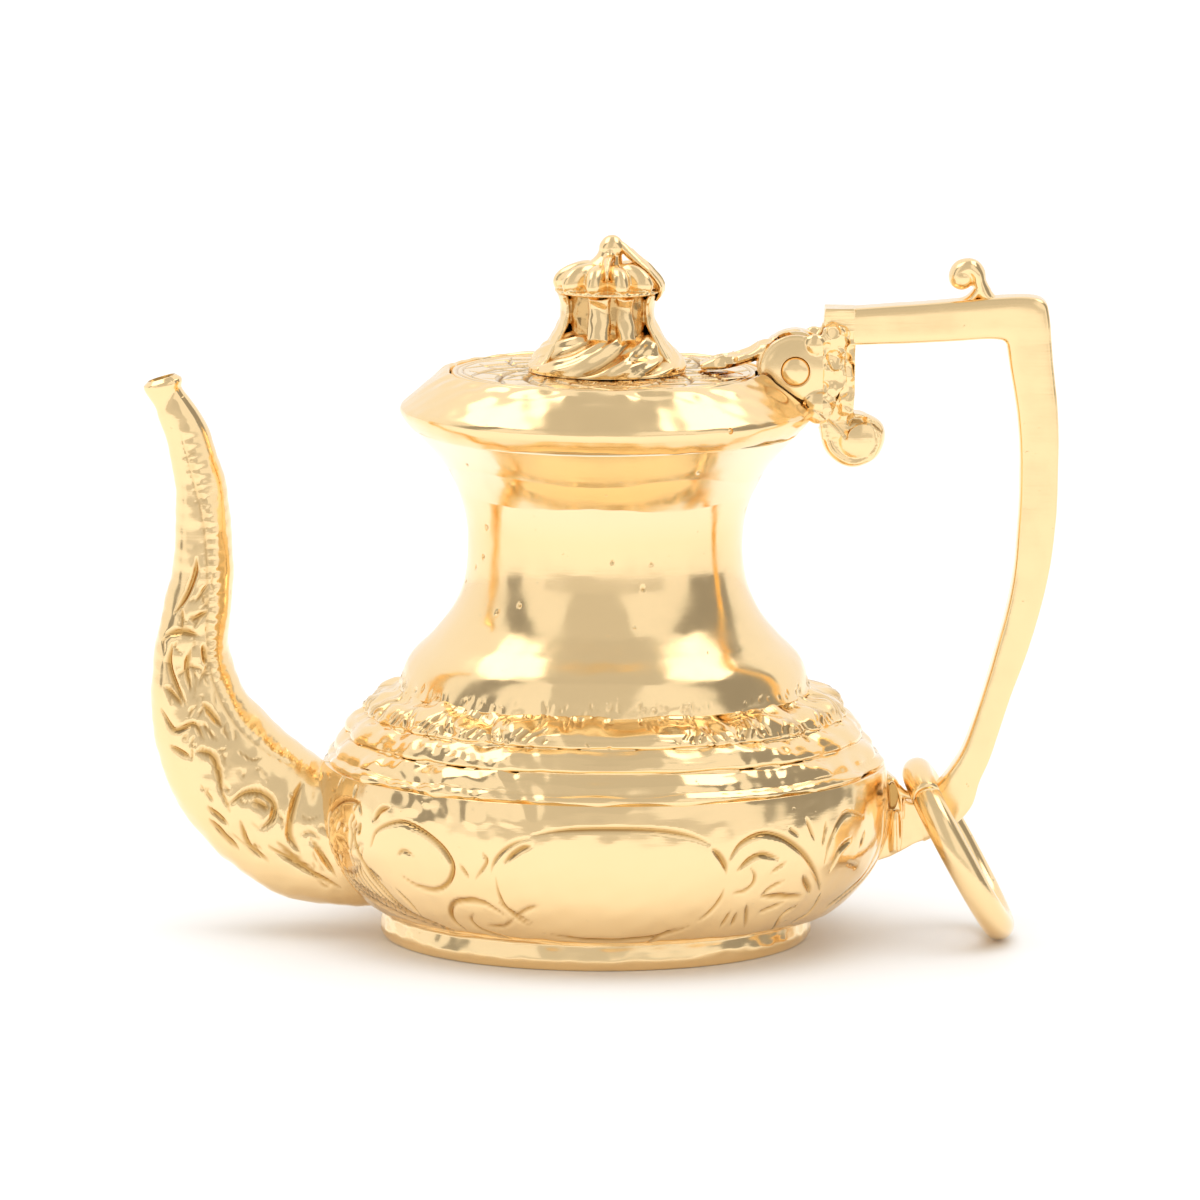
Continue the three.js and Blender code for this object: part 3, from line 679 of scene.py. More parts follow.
def worked(parts, voxel=0.0, smoothing=0, holes=()):
    """Parts in millimetres, fused into one skin as in a casting, smoothed, and drilled by the holes."""
    def temporary(points, faces):
        mesh = bpy.data.meshes.new("work")
        mesh.from_pydata(np.asarray(points).tolist(), [], [list(map(int, face)) for face in faces])
        face_outward(mesh)
        thing = bpy.data.objects.new("work", mesh)
        bpy.context.scene.collection.objects.link(thing)
        return thing

    points, faces, shift = [], [], 0
    for part_points, part_faces in parts:
        points.append(part_points)
        faces += [[corner + shift for corner in face] for face in part_faces]
        shift += len(part_points)
    block = temporary(np.concatenate(points), faces)
    if voxel:
        remesh = block.modifiers.new("fuse", "REMESH")
        remesh.mode = "VOXEL"
        remesh.voxel_size = voxel
    if smoothing:
        smooth = block.modifiers.new("smooth", "SMOOTH")
        smooth.factor = 0.5
        smooth.iterations = smoothing
    drills = [temporary(*hole) for hole in holes]
    for drill in drills:
        bore = block.modifiers.new("bore", "BOOLEAN")
        bore.operation = "DIFFERENCE"
        bore.solver = "EXACT"
        bore.object = drill
    done = bpy.data.meshes.new_from_object(block.evaluated_get(bpy.context.evaluated_depsgraph_get()))
    found = np.array([vertex.co for vertex in done.vertices])
    outward = np.array([normal.vector for normal in done.vertex_normals])
    skin = [list(polygon.vertices) for polygon in done.polygons]
    for thing in (block, *drills):
        bpy.data.objects.remove(thing)
    return found, skin, outward


rim_low, rim_high = (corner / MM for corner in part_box("rim_collar"))
pin_low, pin_high = (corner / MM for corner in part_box("hinge_pin"))
pin_x, pin_z = (pin_low.x + pin_high.x) / 2, (pin_low.z + pin_high.z) / 2
lug_outer, lug_inner = pin_high.y, 0.64
rim_top = rim_high.z - rim_low.z
rim_line = np.vstack([
    spline([(5.24, 0), (5.5, 0.02), (5.72, 0.08)], 5), spline([(5.8, 0.12), (5.98, 0.3), (6.14, 0.52)], 10),
    spline([(6.19, 0.62), (rim_high.y, 0.7), (6.18, 0.78)], 5),
    spline([(6.12, 0.85), (5.5, 1.4), (4.96, 1.79)], 26),
    spline([(4.88, 1.84), (4.8, rim_top), (4.74, 1.83)], 5),
    [(4.72, 1.7), (4.71, 1.49), (4.15, 1.49), (4.15, 1.07)]])


def hammered_rim(points):
    top_edge = np.exp(-((points[..., 2] - 16.95) / 0.16) ** 2)
    return 0.05 * waves(points, 3.2, 10) + (0.022 + 0.06 * top_edge) * waves(points, 0.8, 11), 0 * top_edge


rim_line += (0, rim_low.z)
rim_points, rim_faces, painted_shade = turn(rim_line, 0, even_angles(400), hammered_rim, closed=True)
hinge_space = [rod(1.16, -HINGE_HALF_WIDTH, -lug_inner, pin_x, pin_z),
               rod(1.26, -lug_inner, lug_inner, pin_x, pin_z),
               rod(1.16, lug_inner, HINGE_HALF_WIDTH, pin_x, pin_z)]
casting_pit = ball((3.63, -5.0, 15.95), 0.1)  # a bubble in the casting, laid open by the polishing
points, faces, outward = worked([(rim_points, rim_faces)], holes=[*hinge_space, casting_pit])
add_piece("bevelled_rim", points, faces, polished_gold, "pot", "rim_collar", smooth_angle=32)

# ---------------------------------------------------------------- spout
# A hollow cast horn, soldered to the bowl and bent up to a rolled mouth. A notched ridge runs down the
# inside of its bend, and scrolls and leaves are cut into both of its cheeks.
SPOUT_WALL = 0.32
SPOUT_ROWS, SPOUT_SIDES = 380, 180
SPOUT_SQUARENESS = 0.86  # below 1 the horn's section is fuller than an oval

# centre x and z, half the thickness across the bend, half the width, from the mouth to the root
spout_stations = np.array([
    (-13.33, 16.78, 0.53, 0.5), (-13.2, 16.36, 0.52, 0.52), (-12.92, 15.85, 0.57, 0.55),
    (-12.46, 14.85, 0.67, 0.62), (-12.13, 13.2, 0.79, 0.72), (-12.07, 11.5, 0.89, 0.84),
    (-12.21, 10.0, 1.0, 0.96), (-12.42, 8.4, 1.16, 1.08), (-12.18, 6.8, 1.48, 1.28),
    (-11.58, 5.5, 1.82, 1.55), (-10.64, 4.3, 2.02, 1.75), (-9.18, 3.2, 2.1, 1.9),
    (-7.7, 2.83, 2.0, 1.96), (-6.0, 2.8, 1.9, 1.95)])
spout_ridge = spline([
    (-12.5, 15.2), (-12.12, 13.8), (-11.82, 12.5), (-11.7, 11.0), (-11.7, 9.4), (-11.56, 8.0), (-11.0, 6.75),
    (-10.1, 5.85), (-8.8, 5.15)], 110)
spout_strokes = [
    ([(-12.24, 11.44), (-12.28, 11.0), (-12.53, 10.37), (-12.88, 9.8)], BOLD),
    ([(-13.16, 9.13), (-12.66, 9.25), (-12.18, 9.13)], (0.3, 0.13)),
    ([(-12.68, 9.99), (-12.66, 9.2)], FINE),
    ([(-11.9, 9.86), (-12.4, 9.58)], BOLD), ([(-11.88, 10.7), (-12.28, 10.12)], FINE),
    ([(-12.97, 8.85), (-13.05, 8.22), (-12.8, 7.52), (-12.53, 7.08)], BOLD),
    ([(-12.4, 8.72), (-12.53, 8.16), (-12.38, 7.46)], BOLD), ([(-12.03, 8.85), (-11.95, 8.28)], BOLD),
    ([(-12.6, 8.24), (-12.05, 8.14)], FINE), ([(-13.16, 7.6), (-12.65, 7.05)], BOLD),
    ([(-12.05, 7.14), (-11.45, 6.42)], (0.3, 0.12)), ([(-13.03, 5.82), (-12.4, 5.5)], BOLD),
    ([(-12.22, 5.7), (-11.78, 5.6), (-11.58, 5.18), (-11.45, 4.42)], (0.3, 0.14)),
    ([(-13.3, 6.9), (-12.9, 6.3), (-12.3, 6.5), (-12.0, 6.0)], BOLD), ([(-12.1, 6.6), (-11.6, 6.0)], FINE),
    ([(-11.22, 4.15), (-10.78, 4.47), (-10.28, 4.5), (-9.9, 4.17), (-9.95, 3.7), (-10.3, 3.44)],
     (0.28, 0.14)),
    ([(-10.53, 4.27), (-10.03, 4.02)], (0.34, 0.12)), ([(-11.97, 4.55), (-11.72, 4.22)], FINE),
    ([(-11.9, 4.04), (-11.28, 3.51)], BOLD), ([(-11.84, 3.64), (-10.95, 2.75)], BOLD),
    ([(-10.9, 3.66), (-10.65, 2.91), (-10.03, 2.45)], BOLD), ([(-11.62, 4.9), (-11.2, 3.9)], FINE),
    ([(-10.03, 2.91), (-9.03, 2.27), (-7.88, 1.62)], BOLD), ([(-9.78, 3.03), (-8.53, 1.87)], BOLD),
    ([(-9.6, 2.72), (-8.65, 2.2)], FINE), ([(-8.78, 3.16), (-8.03, 2.0)], BOLD),
    ([(-9.05, 4.75), (-9.28, 4.17), (-9.43, 3.3), (-9.1, 2.7)], (0.3, 0.1)),
    (spout_ridge[::9] - (0.22, 0.05), (0.16, 0.035))]
random = np.random.default_rng(29)
for place in range(4, 66):
    # short nicks beside the ridge, uneven as the graver's tip left them
    x, z = spout_ridge[place] + random.uniform(-0.03, 0.03, 2)
    spout_strokes.append(([(x - random.uniform(0.16, 0.4), z + random.uniform(-0.08, 0.06)),
                           (x + random.uniform(-0.08, 0.06), z)], (random.uniform(0.08, 0.13), 0.022)))
for _ in range(64):
    # the ground between the scrolls is broken up with small leaves and nicks that lie along the horn
    place = int(random.uniform(0.42, 0.9) * 399)
    x, z, tall, wide = spline(spout_stations, 400)[place]
    ahead = spline(spout_stations, 400)[place + 9, :2] - (x, z)
    ahead /= np.hypot(*ahead)
    centre = np.array((x, z)) + random.uniform(-0.62, 0.5) * tall * np.array((-ahead[1], ahead[0]))
    lean = ahead + random.normal(0, 0.45, 2)
    reach = random.uniform(0.08, 0.28) * lean
    spout_strokes.append(([centre - reach, centre + 0.1 * random.normal(0, 1, 2), centre + reach],
                          (random.uniform(0.09, 0.17), random.uniform(0.03, 0.07))))

station = spline(spout_stations, SPOUT_ROWS)
spout_along = np.gradient(station[:, :2], axis=0)
spout_along /= np.linalg.norm(spout_along, axis=1)[:, None]
turning = np.arange(SPOUT_SIDES) * 2 * np.pi / SPOUT_SIDES
round_x, round_y = (np.sign(way) * np.abs(way) ** SPOUT_SQUARENESS
                    for way in (np.cos(turning), np.sin(turning)))


def spout_skin(inset, push=0.0):
    tall = (station[:, 2:3] - inset) * round_x + push * np.cos(turning)
    wide = (station[:, 3:4] - inset) * round_y + push * np.sin(turning)
    x = station[:, :1] + tall * spout_along[:, 1:]
    return np.stack([x, wide, station[:, 1:2] - tall * spout_along[:, :1]], axis=-1)


plain = spout_skin(0)
steps = np.linalg.norm(np.diff(station[:, :2], axis=0), axis=1)
from_mouth = np.concatenate([[0], np.cumsum(steps)])[:, None]
lip = 0.07 * np.exp(-((from_mouth - 0.2) / 0.2) ** 2) - 0.04 * np.exp(-((from_mouth - 0.7) / 0.25) ** 2)
lip = lip - 0.12 * np.clip(1 - from_mouth / 0.12, 0, 1)
ridge_x, ridge_z = spout_ridge[::3].T
ridge_away = np.min(np.hypot(plain[..., None, 0] - ridge_x, plain[..., None, 2] - ridge_z), axis=-1)
ridge_height = 0.05 * np.exp(-(ridge_away / 0.2) ** 2)
chased = 0.06 * waves(plain, 1.5, 13) + 0.022 * waves(plain, 0.5, 14)
chased *= np.clip((from_mouth - 0.8) / 2, 0.15, 1)
on_cheek = np.clip(2.2 * np.abs(np.sin(turning)), 0, 1)
spout_groove = cut(plain[..., 0], plain[..., 2], spout_strokes) * on_cheek
outer_skin = spout_skin(0, lip + ridge_height + chased - spout_groove)
thinned = SPOUT_WALL * np.clip(0.4 + 0.3 * from_mouth, 0.4, 1)
rows = np.concatenate([outer_skin, spout_skin(thinned)[::12][::-1]])
# the root stops inside the wall of the pot that it is soldered to
pot_line = np.vstack([bowl_line, shoulder_line])
from_axis = np.hypot(rows[..., 0], rows[..., 1])
wall_inside = np.interp(rows[..., 2], pot_line[:, 1], pot_line[:, 0]) - 0.2
rows[..., :2] *= np.maximum(1, wall_inside / from_axis)[..., None]
# painted shade: the cuts on the cheeks are painted dark, and the inside of the bore is painted as dark as a
# deep cut
painted_shade = np.pad(spout_groove, ((0, len(rows) - SPOUT_ROWS), (0, 0)), constant_values=0.14)
add_piece("chased_spout", rows.reshape(-1, 3), grid_faces(len(rows), SPOUT_SIDES), engraved_gold,
          "pot", "spout", painted_shade=painted_shade)

# ---------------------------------------------------------------- handle socket
# The cast bracket that the handle and the hinge both grow from, soldered against the rim. It is chased rough
# all over, and ends below in a round scroll that is left smooth.
SCROLL_X, SCROLL_Z = 7.66, 15.1


def facets(points, outward, count, size, depth, seed):
    """Small flat cuts that overlap, as a chisel leaves them, at places drawn from the surface itself."""
    random = np.random.default_rng(seed)
    points = points.copy()
    for chosen in random.integers(0, len(points), count):
        facing = outward[chosen] + random.normal(scale=0.22, size=3)
        facing /= np.linalg.norm(facing)
        from_centre = points - points[chosen]
        reach = size * random.uniform(0.6, 1.4)
        above = from_centre @ facing + depth * random.uniform(0.3, 1.0)
        near = (above > 0) & (np.linalg.norm(from_centre, axis=1) < reach)
        fade = 1 - (np.linalg.norm(from_centre[near], axis=1) / reach) ** 4
        points[near] -= (above[near] * fade)[:, None] * facing
    return points


def uneven(points, outward, depth, length, seed):
    return points + outward * (depth * waves(points, length, seed))[:, None]


_, socket_high = (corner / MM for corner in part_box("handle_socket"))
socket_left = 6.88
socket_body = [
    (6.5, socket_high.z), (7.41, socket_high.z), (7.41, 16.6), (7.36, 15.9), (6.9, 15.2), (6.44, 15.1),
    (6.38, 15.5), (6.3, 15.95), (6.42, 16.2), (socket_left, 16.4), (socket_left, 18.3), (6.62, 18.42),
    (6.46, 18.5)]
socket_parts = [
    plate(socket_body, -0.57, 0.57), rod(0.78, -0.52, 0.52, 7.42, SCROLL_Z),
    tube([(6.5, 0, 15.5), (6.75, 0, 14.75), (7.4, 0, 14.42), (8.0, 0, 14.75), (8.1, 0, 15.4),
          (7.6, 0, 15.75)],
         [(0.2, 0.6), (0.2, 0.6), (0.2, 0.6), (0.2, 0.6), (0.2, 0.58), (0.16, 0.5)], 60),
    tube([(6.75, 0, 18.5), (6.9, 0, 18.1), (7.1, 0, 17.2), (6.95, 0, 16.5), (6.6, 0, 16.1)],
         [(0.12, 0.58), (0.2, 0.62), (0.24, 0.64), (0.2, 0.64), (0.14, 0.6)], 60)]
socket_parts += [ball((7.5, side * 0.45, SCROLL_Z), 0.6, (1, 0.4, 1)) for side in (-1, 1)]
socket_parts += [ball((6.3, side * 0.95, 16.05), 0.42, (1, 0.7, 1)) for side in (-1, 1)]
points, faces, outward = worked(socket_parts, voxel=0.035, smoothing=4)
points = uneven(points, outward, 0.02, 0.8, 15)
cheeks = (np.abs(outward[:, 1]) > 0.4) & (points[:, 2] < 18.35) & (points[:, 2] + points[:, 0] > 22.3)
cheeks &= np.hypot(points[:, 0] - SCROLL_X, points[:, 2] - SCROLL_Z) > 0.5
points[cheeks] = facets(points[cheeks], outward[cheeks], 150, 0.26, 0.05, 16)
add_piece("chased_socket", points, faces, rough_gold, "pot", "handle_socket")

# ---------------------------------------------------------------- handle loop
# One solid gold bar, filed square with softened edges. It runs out from the socket, turns a sharp corner,
# and sweeps down to its broad foot.
HANDLE_ROWS, HANDLE_SIDES = 340, 56
SQUARENESS = 7  # 2 would be a round bar

_, handle_high = (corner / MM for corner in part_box("handle_loop"))
handle_half = handle_high.y
# inner x and z, outer x and z
rungs = [
    (7.36, 17.93, 7.36, 19.05), (8.6, 17.98, 8.6, 19.14), (9.6, 18.03, 9.6, 19.21), (10.5, 18.08, 10.6, 19.3),
    (11.3, 18.14, 11.5, 19.38), (11.74, 18.12, 12.5, 19.42), (11.9, 18.02, 13.02, 19.3),
    (11.95, 17.84, 13.2, 18.86), (12.03, 17.31, 13.33, 17.45), (12.27, 15.85, 13.5, 15.85),
    (12.36, 14.4, 13.53, 14.4), (12.32, 12.5, 13.47, 12.6), (12.14, 10.6, 13.24, 10.85),
    (11.66, 8.6, 12.74, 8.95), (11.22, 7.1, 12.18, 7.35), (10.78, 5.82, 11.62, 5.58),
    (10.34, 5.08, 11.28, 4.76), (9.98, 4.62, 11.02, 3.96), (9.74, 4.38, 10.42, 3.32), (9.56, 4.3, 9.6, 2.9)]
rung_line = spline(rungs, HANDLE_ROWS)
turning = (np.arange(HANDLE_SIDES) + 0.5) * 2 * np.pi / HANDLE_SIDES
corner_reach = np.abs(np.cos(turning)) ** SQUARENESS + np.abs(np.sin(turning)) ** SQUARENESS
square = 1 / corner_reach ** (1 / SQUARENESS)
across, beside = square * np.cos(turning), square * np.sin(turning)
inner_edge = np.insert(rung_line[:, :2], 1, 0, axis=1)[:, None]
outer_edge = np.insert(rung_line[:, 2:], 1, 0, axis=1)[:, None]
bar = inner_edge + (outer_edge - inner_edge) * ((across + 1) / 2)[None, :, None]
bar = bar + (beside * handle_half)[None, :, None] * np.array((0, 1, 0))
facing = np.stack([across, beside], axis=1)[None]
sag = 0.016 * waves(bar, 4.0, 17) + 0.005 * waves(bar, 1.0, 18)
bar[..., 1] += sag * facing[..., 1]
bar += (sag * facing[..., 0])[..., None] * (outer_edge - inner_edge) / 1.2
points, faces = loft(list(bar[:, ::-1]))
add_piece("square_handle", points, faces, polished_gold, "pot", "handle_loop", smooth_angle=50)

# ---------------------------------------------------------------- thumb scroll
# A small crook for the thumb, cast and soldered on. It rises from the top of the handle and curls back to
# a ball.
crook_path = [(11.6, 0, 19.25), (11.26, 0, 19.46), (11.1, 0, 19.8), (11.02, 0, 20.1), (10.8, 0, 20.24),
              (10.54, 0, 20.14), (10.46, 0, 19.88), (10.62, 0, 19.78)]
crook_size = [(0.1, 0.4), (0.24, 0.42), (0.23, 0.42), (0.26, 0.44), (0.3, 0.44), (0.3, 0.44), (0.26, 0.42),
              (0.14, 0.38)]
crook_foot = tube([(10.4, 0, 19.2), (10.84, 0, 19.32), (11.12, 0, 19.66)],
                  [(0.06, 0.4), (0.14, 0.4), (0.14, 0.4)])
points, faces, outward = worked([
    tube(crook_path, crook_size, 70), ball((10.58, 0, 19.98), 0.4, (1, 1.15, 1)), crook_foot],
    voxel=0.03, smoothing=3)
points = uneven(points, outward, 0.02, 0.5, 19)
add_piece("thumb_crook", points, faces, polished_gold, "pot", "thumb_scroll")

# ---------------------------------------------------------------- handle lug
# The cast web that joins the handle's foot to the bowl, soldered at both ends. A pillar stands on it, and a
# small eye is sunk in each of its sides above the pillar.
_, lug_high = (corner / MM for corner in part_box("handle_lug"))
lug_half = lug_high.y - 0.03
lug_end = lug_high.x + 0.14  # it runs on inside the handle's foot
lug_body = [(8.2, 5.02), (8.5, 4.98), (8.7, 4.82), (8.82, 4.6), (8.88, 4.4), (8.98, 4.2), (9.18, 4.08),
            (lug_end, 4.06), (lug_end, 3.0), (9.3, 2.82), (9.0, 2.66), (8.6, 2.44), (8.15, 2.28)]
EYE_X, EYE_Z, EYE_HALF_WIDTH, EYE_HALF_HEIGHT = 8.66, 4.27, 0.17, 0.4
eye = [(EYE_X + EYE_HALF_WIDTH * math.cos(turn_by), EYE_Z + EYE_HALF_HEIGHT * math.sin(turn_by))
       for turn_by in np.radians(even_angles(40))]
lug_parts = [plate(lug_body, -lug_half + 0.1, lug_half - 0.1),
             tube([(8.74, 0, 2.6), (8.74, 0, 3.0), (8.74, 0, 3.5), (8.76, 0, 3.84)],
                  [(0.24, lug_half), (0.27, lug_half + 0.03), (0.26, lug_half + 0.03), (0.2, lug_half)]),
             tube([(8.42, 0, 3.6), (8.38, 0, 4.3), (8.64, 0, 4.76), (8.89, 0, 4.28), (8.96, 0, 3.6)],
                  [(0.09, lug_half - 0.08), (0.1, lug_half), (0.09, lug_half), (0.1, lug_half),
                   (0.08, lug_half - 0.08)], 60),
             tube([(8.82, -0.25, 4.56), (9.0, -0.25, 4.36), (9.3, -0.25, 4.28)],
                  [(0.1, 0.2), (0.12, 0.2), (0.12, 0.2)])]
points, faces, outward = worked(lug_parts, voxel=0.03, smoothing=3, holes=[
    plate(eye, -1, -0.06), plate(eye, 0.06, 1)])
points = uneven(points, outward, 0.02, 0.8, 32)
# painted shade: the inside of each blind eye is painted dark
from_eye = np.hypot((points[:, 0] - EYE_X) / EYE_HALF_WIDTH, (points[:, 2] - EYE_Z) / EYE_HALF_HEIGHT)
painted_shade = 0.14 * (from_eye < 1.15) * (np.abs(points[:, 1]) < lug_half - 0.1)
add_piece("fluted_lug", points, faces, polished_gold, "pot", "handle_lug", smooth_angle=40, painted_shade=painted_shade)

# ---------------------------------------------------------------- hinge
# A pair of round cast ears on the socket carries the pin, a rivet of round gold bar with its two ends
# spread flush in the ears. The casting was left rough behind them.
EAR_RADIUS = 1.08
for side, node, name in ((-1, "hinge_lug_front", "front_ear"), (1, "hinge_lug_back", "back_ear")):
    ear = [(pin_x + EAR_RADIUS * math.cos(turn_by), pin_z + EAR_RADIUS * math.sin(turn_by))
           for turn_by in np.radians(np.linspace(62, 298, 40))]
    ear += [(6.8, 16.4), (7.16, 16.9), (7.1, 17.5), (7.16, 18.1), (7.1, 18.52), (6.72, 18.66), (6.46, 18.5),
            (6.38, 18.24), (6.26, 18.12)]
    cheek = ball((pin_x + 0.72, side * 0.98, pin_z - 0.95), 0.42, (1.2, 0.7, 0.9))
    dome = ball((pin_x, side * (lug_inner + lug_outer) / 2, pin_z), 1.06, (1, 0.255, 1))
    seat = rod(PIN_HEAD + 0.03, *sorted((side * (lug_outer - 0.2), side * 2)), pin_x, pin_z)
    inner_side, outer_side = side * (lug_inner + 0.02), side * (lug_outer - 0.14)
    parts = [plate(ear, *sorted((inner_side, outer_side))), cheek, dome,
             ball((6.2, side * 0.95, 18.0), 0.34, (1, 0.75, 1)),
             ball((6.9, side * 0.8, 18.3), 0.34, (1, 0.6, 0.8))]
    points, faces, outward = worked(parts, voxel=0.03, smoothing=12, holes=[
        rod(PIN_RADIUS + 0.03, -2, 2, pin_x, pin_z), seat])
    points = uneven(points, outward, 0.008, 1.3, 20)
    web = (points[:, 0] > 6.45) & (outward[:, 1] * side > 0.3)
    points[web] = facets(points[web], outward[web], 60, 0.22, 0.05, 34)
    add_piece(name, points, faces, polished_gold, "pot", node, smooth_angle=40)

PIN_HALF = 1.2  # half the pin's length as the next line draws it
head_line = [(0.002, PIN_HALF), (0.2, 1.195), (0.34, 1.17), (PIN_HEAD - 0.03, 1.12), (PIN_HEAD, 1.06),
             (PIN_HEAD, 0.99), (PIN_RADIUS, 0.98), (PIN_RADIUS, 0.5)]
pin_line = np.array(head_line + [(radius, -height) for radius, height in head_line[::-1]])
turned_pin, faces, painted_shade = turn(pin_line[::-1], 0, even_angles(64), closed=True)
points = np.stack([turned_pin[:, 0] + pin_x, turned_pin[:, 2] * lug_outer / PIN_HALF,
                   turned_pin[:, 1] + pin_z], axis=1)
add_piece("domed_pin", points, faces, polished_gold, "pot", "hinge_pin", smooth_angle=40)

# ---------------------------------------------------------------- lid plate
# A flat disc of sheet gold that drops on the ledge in the rim, engraved by hand with crossing leaves inside
# a double line. It is cut away for the hinge.
LID_LEAVES = 15
LID_BORDER = 4.4
lid_low, lid_high = (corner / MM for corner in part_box("lid_plate"))
lid_radius, lid_thick = lid_high.y, lid_high.z - lid_low.z
lid_line = np.vstack([[(0.003, 0.0), (1.5, 0.0), (lid_radius, 0.0), (lid_radius, lid_thick - 0.08)],
                      spline([(lid_radius - 0.05, lid_thick - 0.02), (3.4, lid_thick),
                              (0.003, lid_thick)], 70)])
LEAF_SWEEPS = (0.42, 4.3, (0.24, 0.12)), (-0.36, 4.1, (0.18, 0.09)), (0.2, 3.6, (0.14, 0.07))
lid_strokes = []
for leaf in range(LID_LEAVES):
    for sweep, reach, tool in LEAF_SWEEPS:
        radius = np.linspace(2.3, reach, 5)
        angle = math.radians(360 / LID_LEAVES * leaf) + sweep * (radius - 2.2)
        lid_strokes.append((np.stack([radius * np.sin(angle), -radius * np.cos(angle)], axis=1), tool))


def engraved_lid(points):
    on_top = points[..., 2] > lid_low.z + lid_thick / 2
    radius = np.hypot(points[..., 0], points[..., 1])
    lines = 0.05 * np.clip(1 - np.abs(np.abs(radius - LID_BORDER) - 0.09) / 0.06, 0, 1)
    depth = lines + cut(points[..., 0], points[..., 1], lid_strokes)
    return on_top * (0.02 * waves(points, 1.2, 21) - depth), depth


lid_line += (0, lid_low.z)
lid_points, lid_faces, painted_shade = turn(lid_line, 0, even_angles(640), engraved_lid, closed=True)
points, faces, outward = worked([(lid_points, lid_faces)], holes=[
    rod(1.13, -1.23, -lug_inner, pin_x, pin_z), rod(1.21, -lug_inner, lug_inner, pin_x, pin_z),
    rod(1.13, lug_inner, 1.23, pin_x, pin_z)])
# painted shade in the engraved lines of the lid
_, painted_shade = engraved_lid(points)
add_piece("engraved_lid", points, faces, engraved_gold, "lid", "lid_plate", smooth_angle=45, painted_shade=painted_shade)

# ---------------------------------------------------------------- lid strap
# A cast leaf, soldered on the lid. It lifts over the rim, and rolls into a knuckle round the pin between the
# two ears.
KNUCKLE_RADIUS = 1.14

strap_low, strap_high = (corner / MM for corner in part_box("lid_strap"))
strap_half = strap_high.y - 0.02
strap_parts = [
    rod(KNUCKLE_RADIUS, -strap_half, strap_half, pin_x, pin_z),
    tube([(2.8, 0, 17.24), (3.4, 0, 17.32), (4.0, 0, 17.5), (4.35, 0, 17.62), (4.7, 0, 17.8),
          (5.1, 0, 17.9)],
         [(0.12, 0.5), (0.18, 0.56), (0.22, strap_half), (0.23, strap_half), (0.25, strap_half),
          (0.16, strap_half)], 50)]
strap_parts += [tube([(2.8, side * 0.3, 17.24), (3.3, side * 0.28, 17.42), (3.8, side * 0.26, 17.58)],
                     [(0.1, 0.2), (0.14, 0.24), (0.1, 0.2)]) for side in (-1, 1)]
points, faces, outward = worked(strap_parts, voxel=0.032, smoothing=3, holes=[
    rod(PIN_RADIUS + 0.05, -2, 2, pin_x, pin_z)])
clear_of_pin = np.hypot(points[:, 0] - pin_x, points[:, 2] - pin_z) > 0.9
points[clear_of_pin] = facets(points[clear_of_pin], outward[clear_of_pin], 60, 0.3, 0.06, 22)
points[:, 2] = np.maximum(points[:, 2], strap_low.z)
add_piece("leaf_strap", points, faces, engraved_gold, "lid", "lid_strap", smooth_angle=50)

# ---------------------------------------------------------------- finial
# Cast in pieces and soldered: a mound of swirling leaves, a pierced stem between two curled walls, a cap of
# ten lobes edged with beads, a bud whose tongue hangs over the front, and one long leaf towards the hinge.
MOUND_LEAVES = 6
CAP_LOBES, CAP_BEADS = 10, 26

skirt_low, skirt_high = (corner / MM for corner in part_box("finial_skirt"))
skirt_radius, skirt_height = skirt_high.y, skirt_high.z - skirt_low.z
mound_line = spline([(skirt_radius, 0), (2.34, 0.12), (2.12, 0.42), (1.78, 0.78), (1.42, 1.08), (0.9, 1.26),
                     (0.3, 1.36)], 150) + (0, skirt_low.z)


def swirled(points):
    angle = np.arctan2(points[..., 0], -points[..., 1])
    rise = (points[..., 2] - skirt_low.z) / skirt_height
    phase = MOUND_LEAVES * angle - 8.2 * rise + 0.7 * np.sin(3 * angle)
    leaves = 0.2 * np.abs(np.cos(phase / 2)) ** 0.7 - 0.12
    veins = 0.02 * np.sin(3 * phase - 2 * rise) + 0.04 * waves(points, 0.7, 23)
    eye = 0.22 * np.exp(-((points[..., 0] - 1.1) ** 2 / 0.16 + (points[..., 2] - 17.75) ** 2 / 0.03))
    # painted shade in the valleys between the leaves
    valley_shade = 0.06 * np.clip(1 - 1.7 * np.abs(np.cos(phase / 2)) ** 0.7, 0, 1)
    return (leaves + veins - eye * (points[..., 1] < 0)) * np.clip(rise * 8, 0.2, 1), valley_shade


points, faces, painted_shade = turn(mound_line, 0.25, even_angles(420), swirled)
add_piece("swirled_mound", points, faces, rough_gold, "lid", "finial_skirt", painted_shade=painted_shade)

_, stem_high = (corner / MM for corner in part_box("finial_stem"))
stem_parts = []
for turn_by, half, swell in ((-11, 0.34, 1.26), (24, 0.28, 1.28)):
    turn_by = math.radians(turn_by)
    column = [(radius * math.sin(turn_by), -radius * math.cos(turn_by), height)
              for radius, height in ((swell, stem_high.z + 0.03), (1.16, 19.1), (1.22, 18.7), (1.5, 18.1))]
    stem_parts.append(tube(column, [(half, half * 0.8)] * 4, 24))
stem_parts.append(tube([(0, 0, stem_high.z + 0.03), (0.001, 0, 18.2)], [(1.26, 1.26), (1.26, 1.26)], 8, 48))
for turn_by in np.radians(np.arange(62, 299, 4)):
    # staves side by side make one curled wall, which hangs from the cap, waists in, and flares to the lid
    line = [(radius * math.sin(turn_by), -radius * math.cos(turn_by), height)
            for radius, height in ((1.44, stem_high.z + 0.02), (1.34, 19.1), (1.38, 18.6), (1.7, 18.0),
                                   (2.04, 17.5), (2.36, 17.2))]
    stem_parts.append(tube(line, [(0.075, 0.11)] * 6, 30, 10))
points, faces, outward = worked(stem_parts, voxel=0.032, smoothing=2)
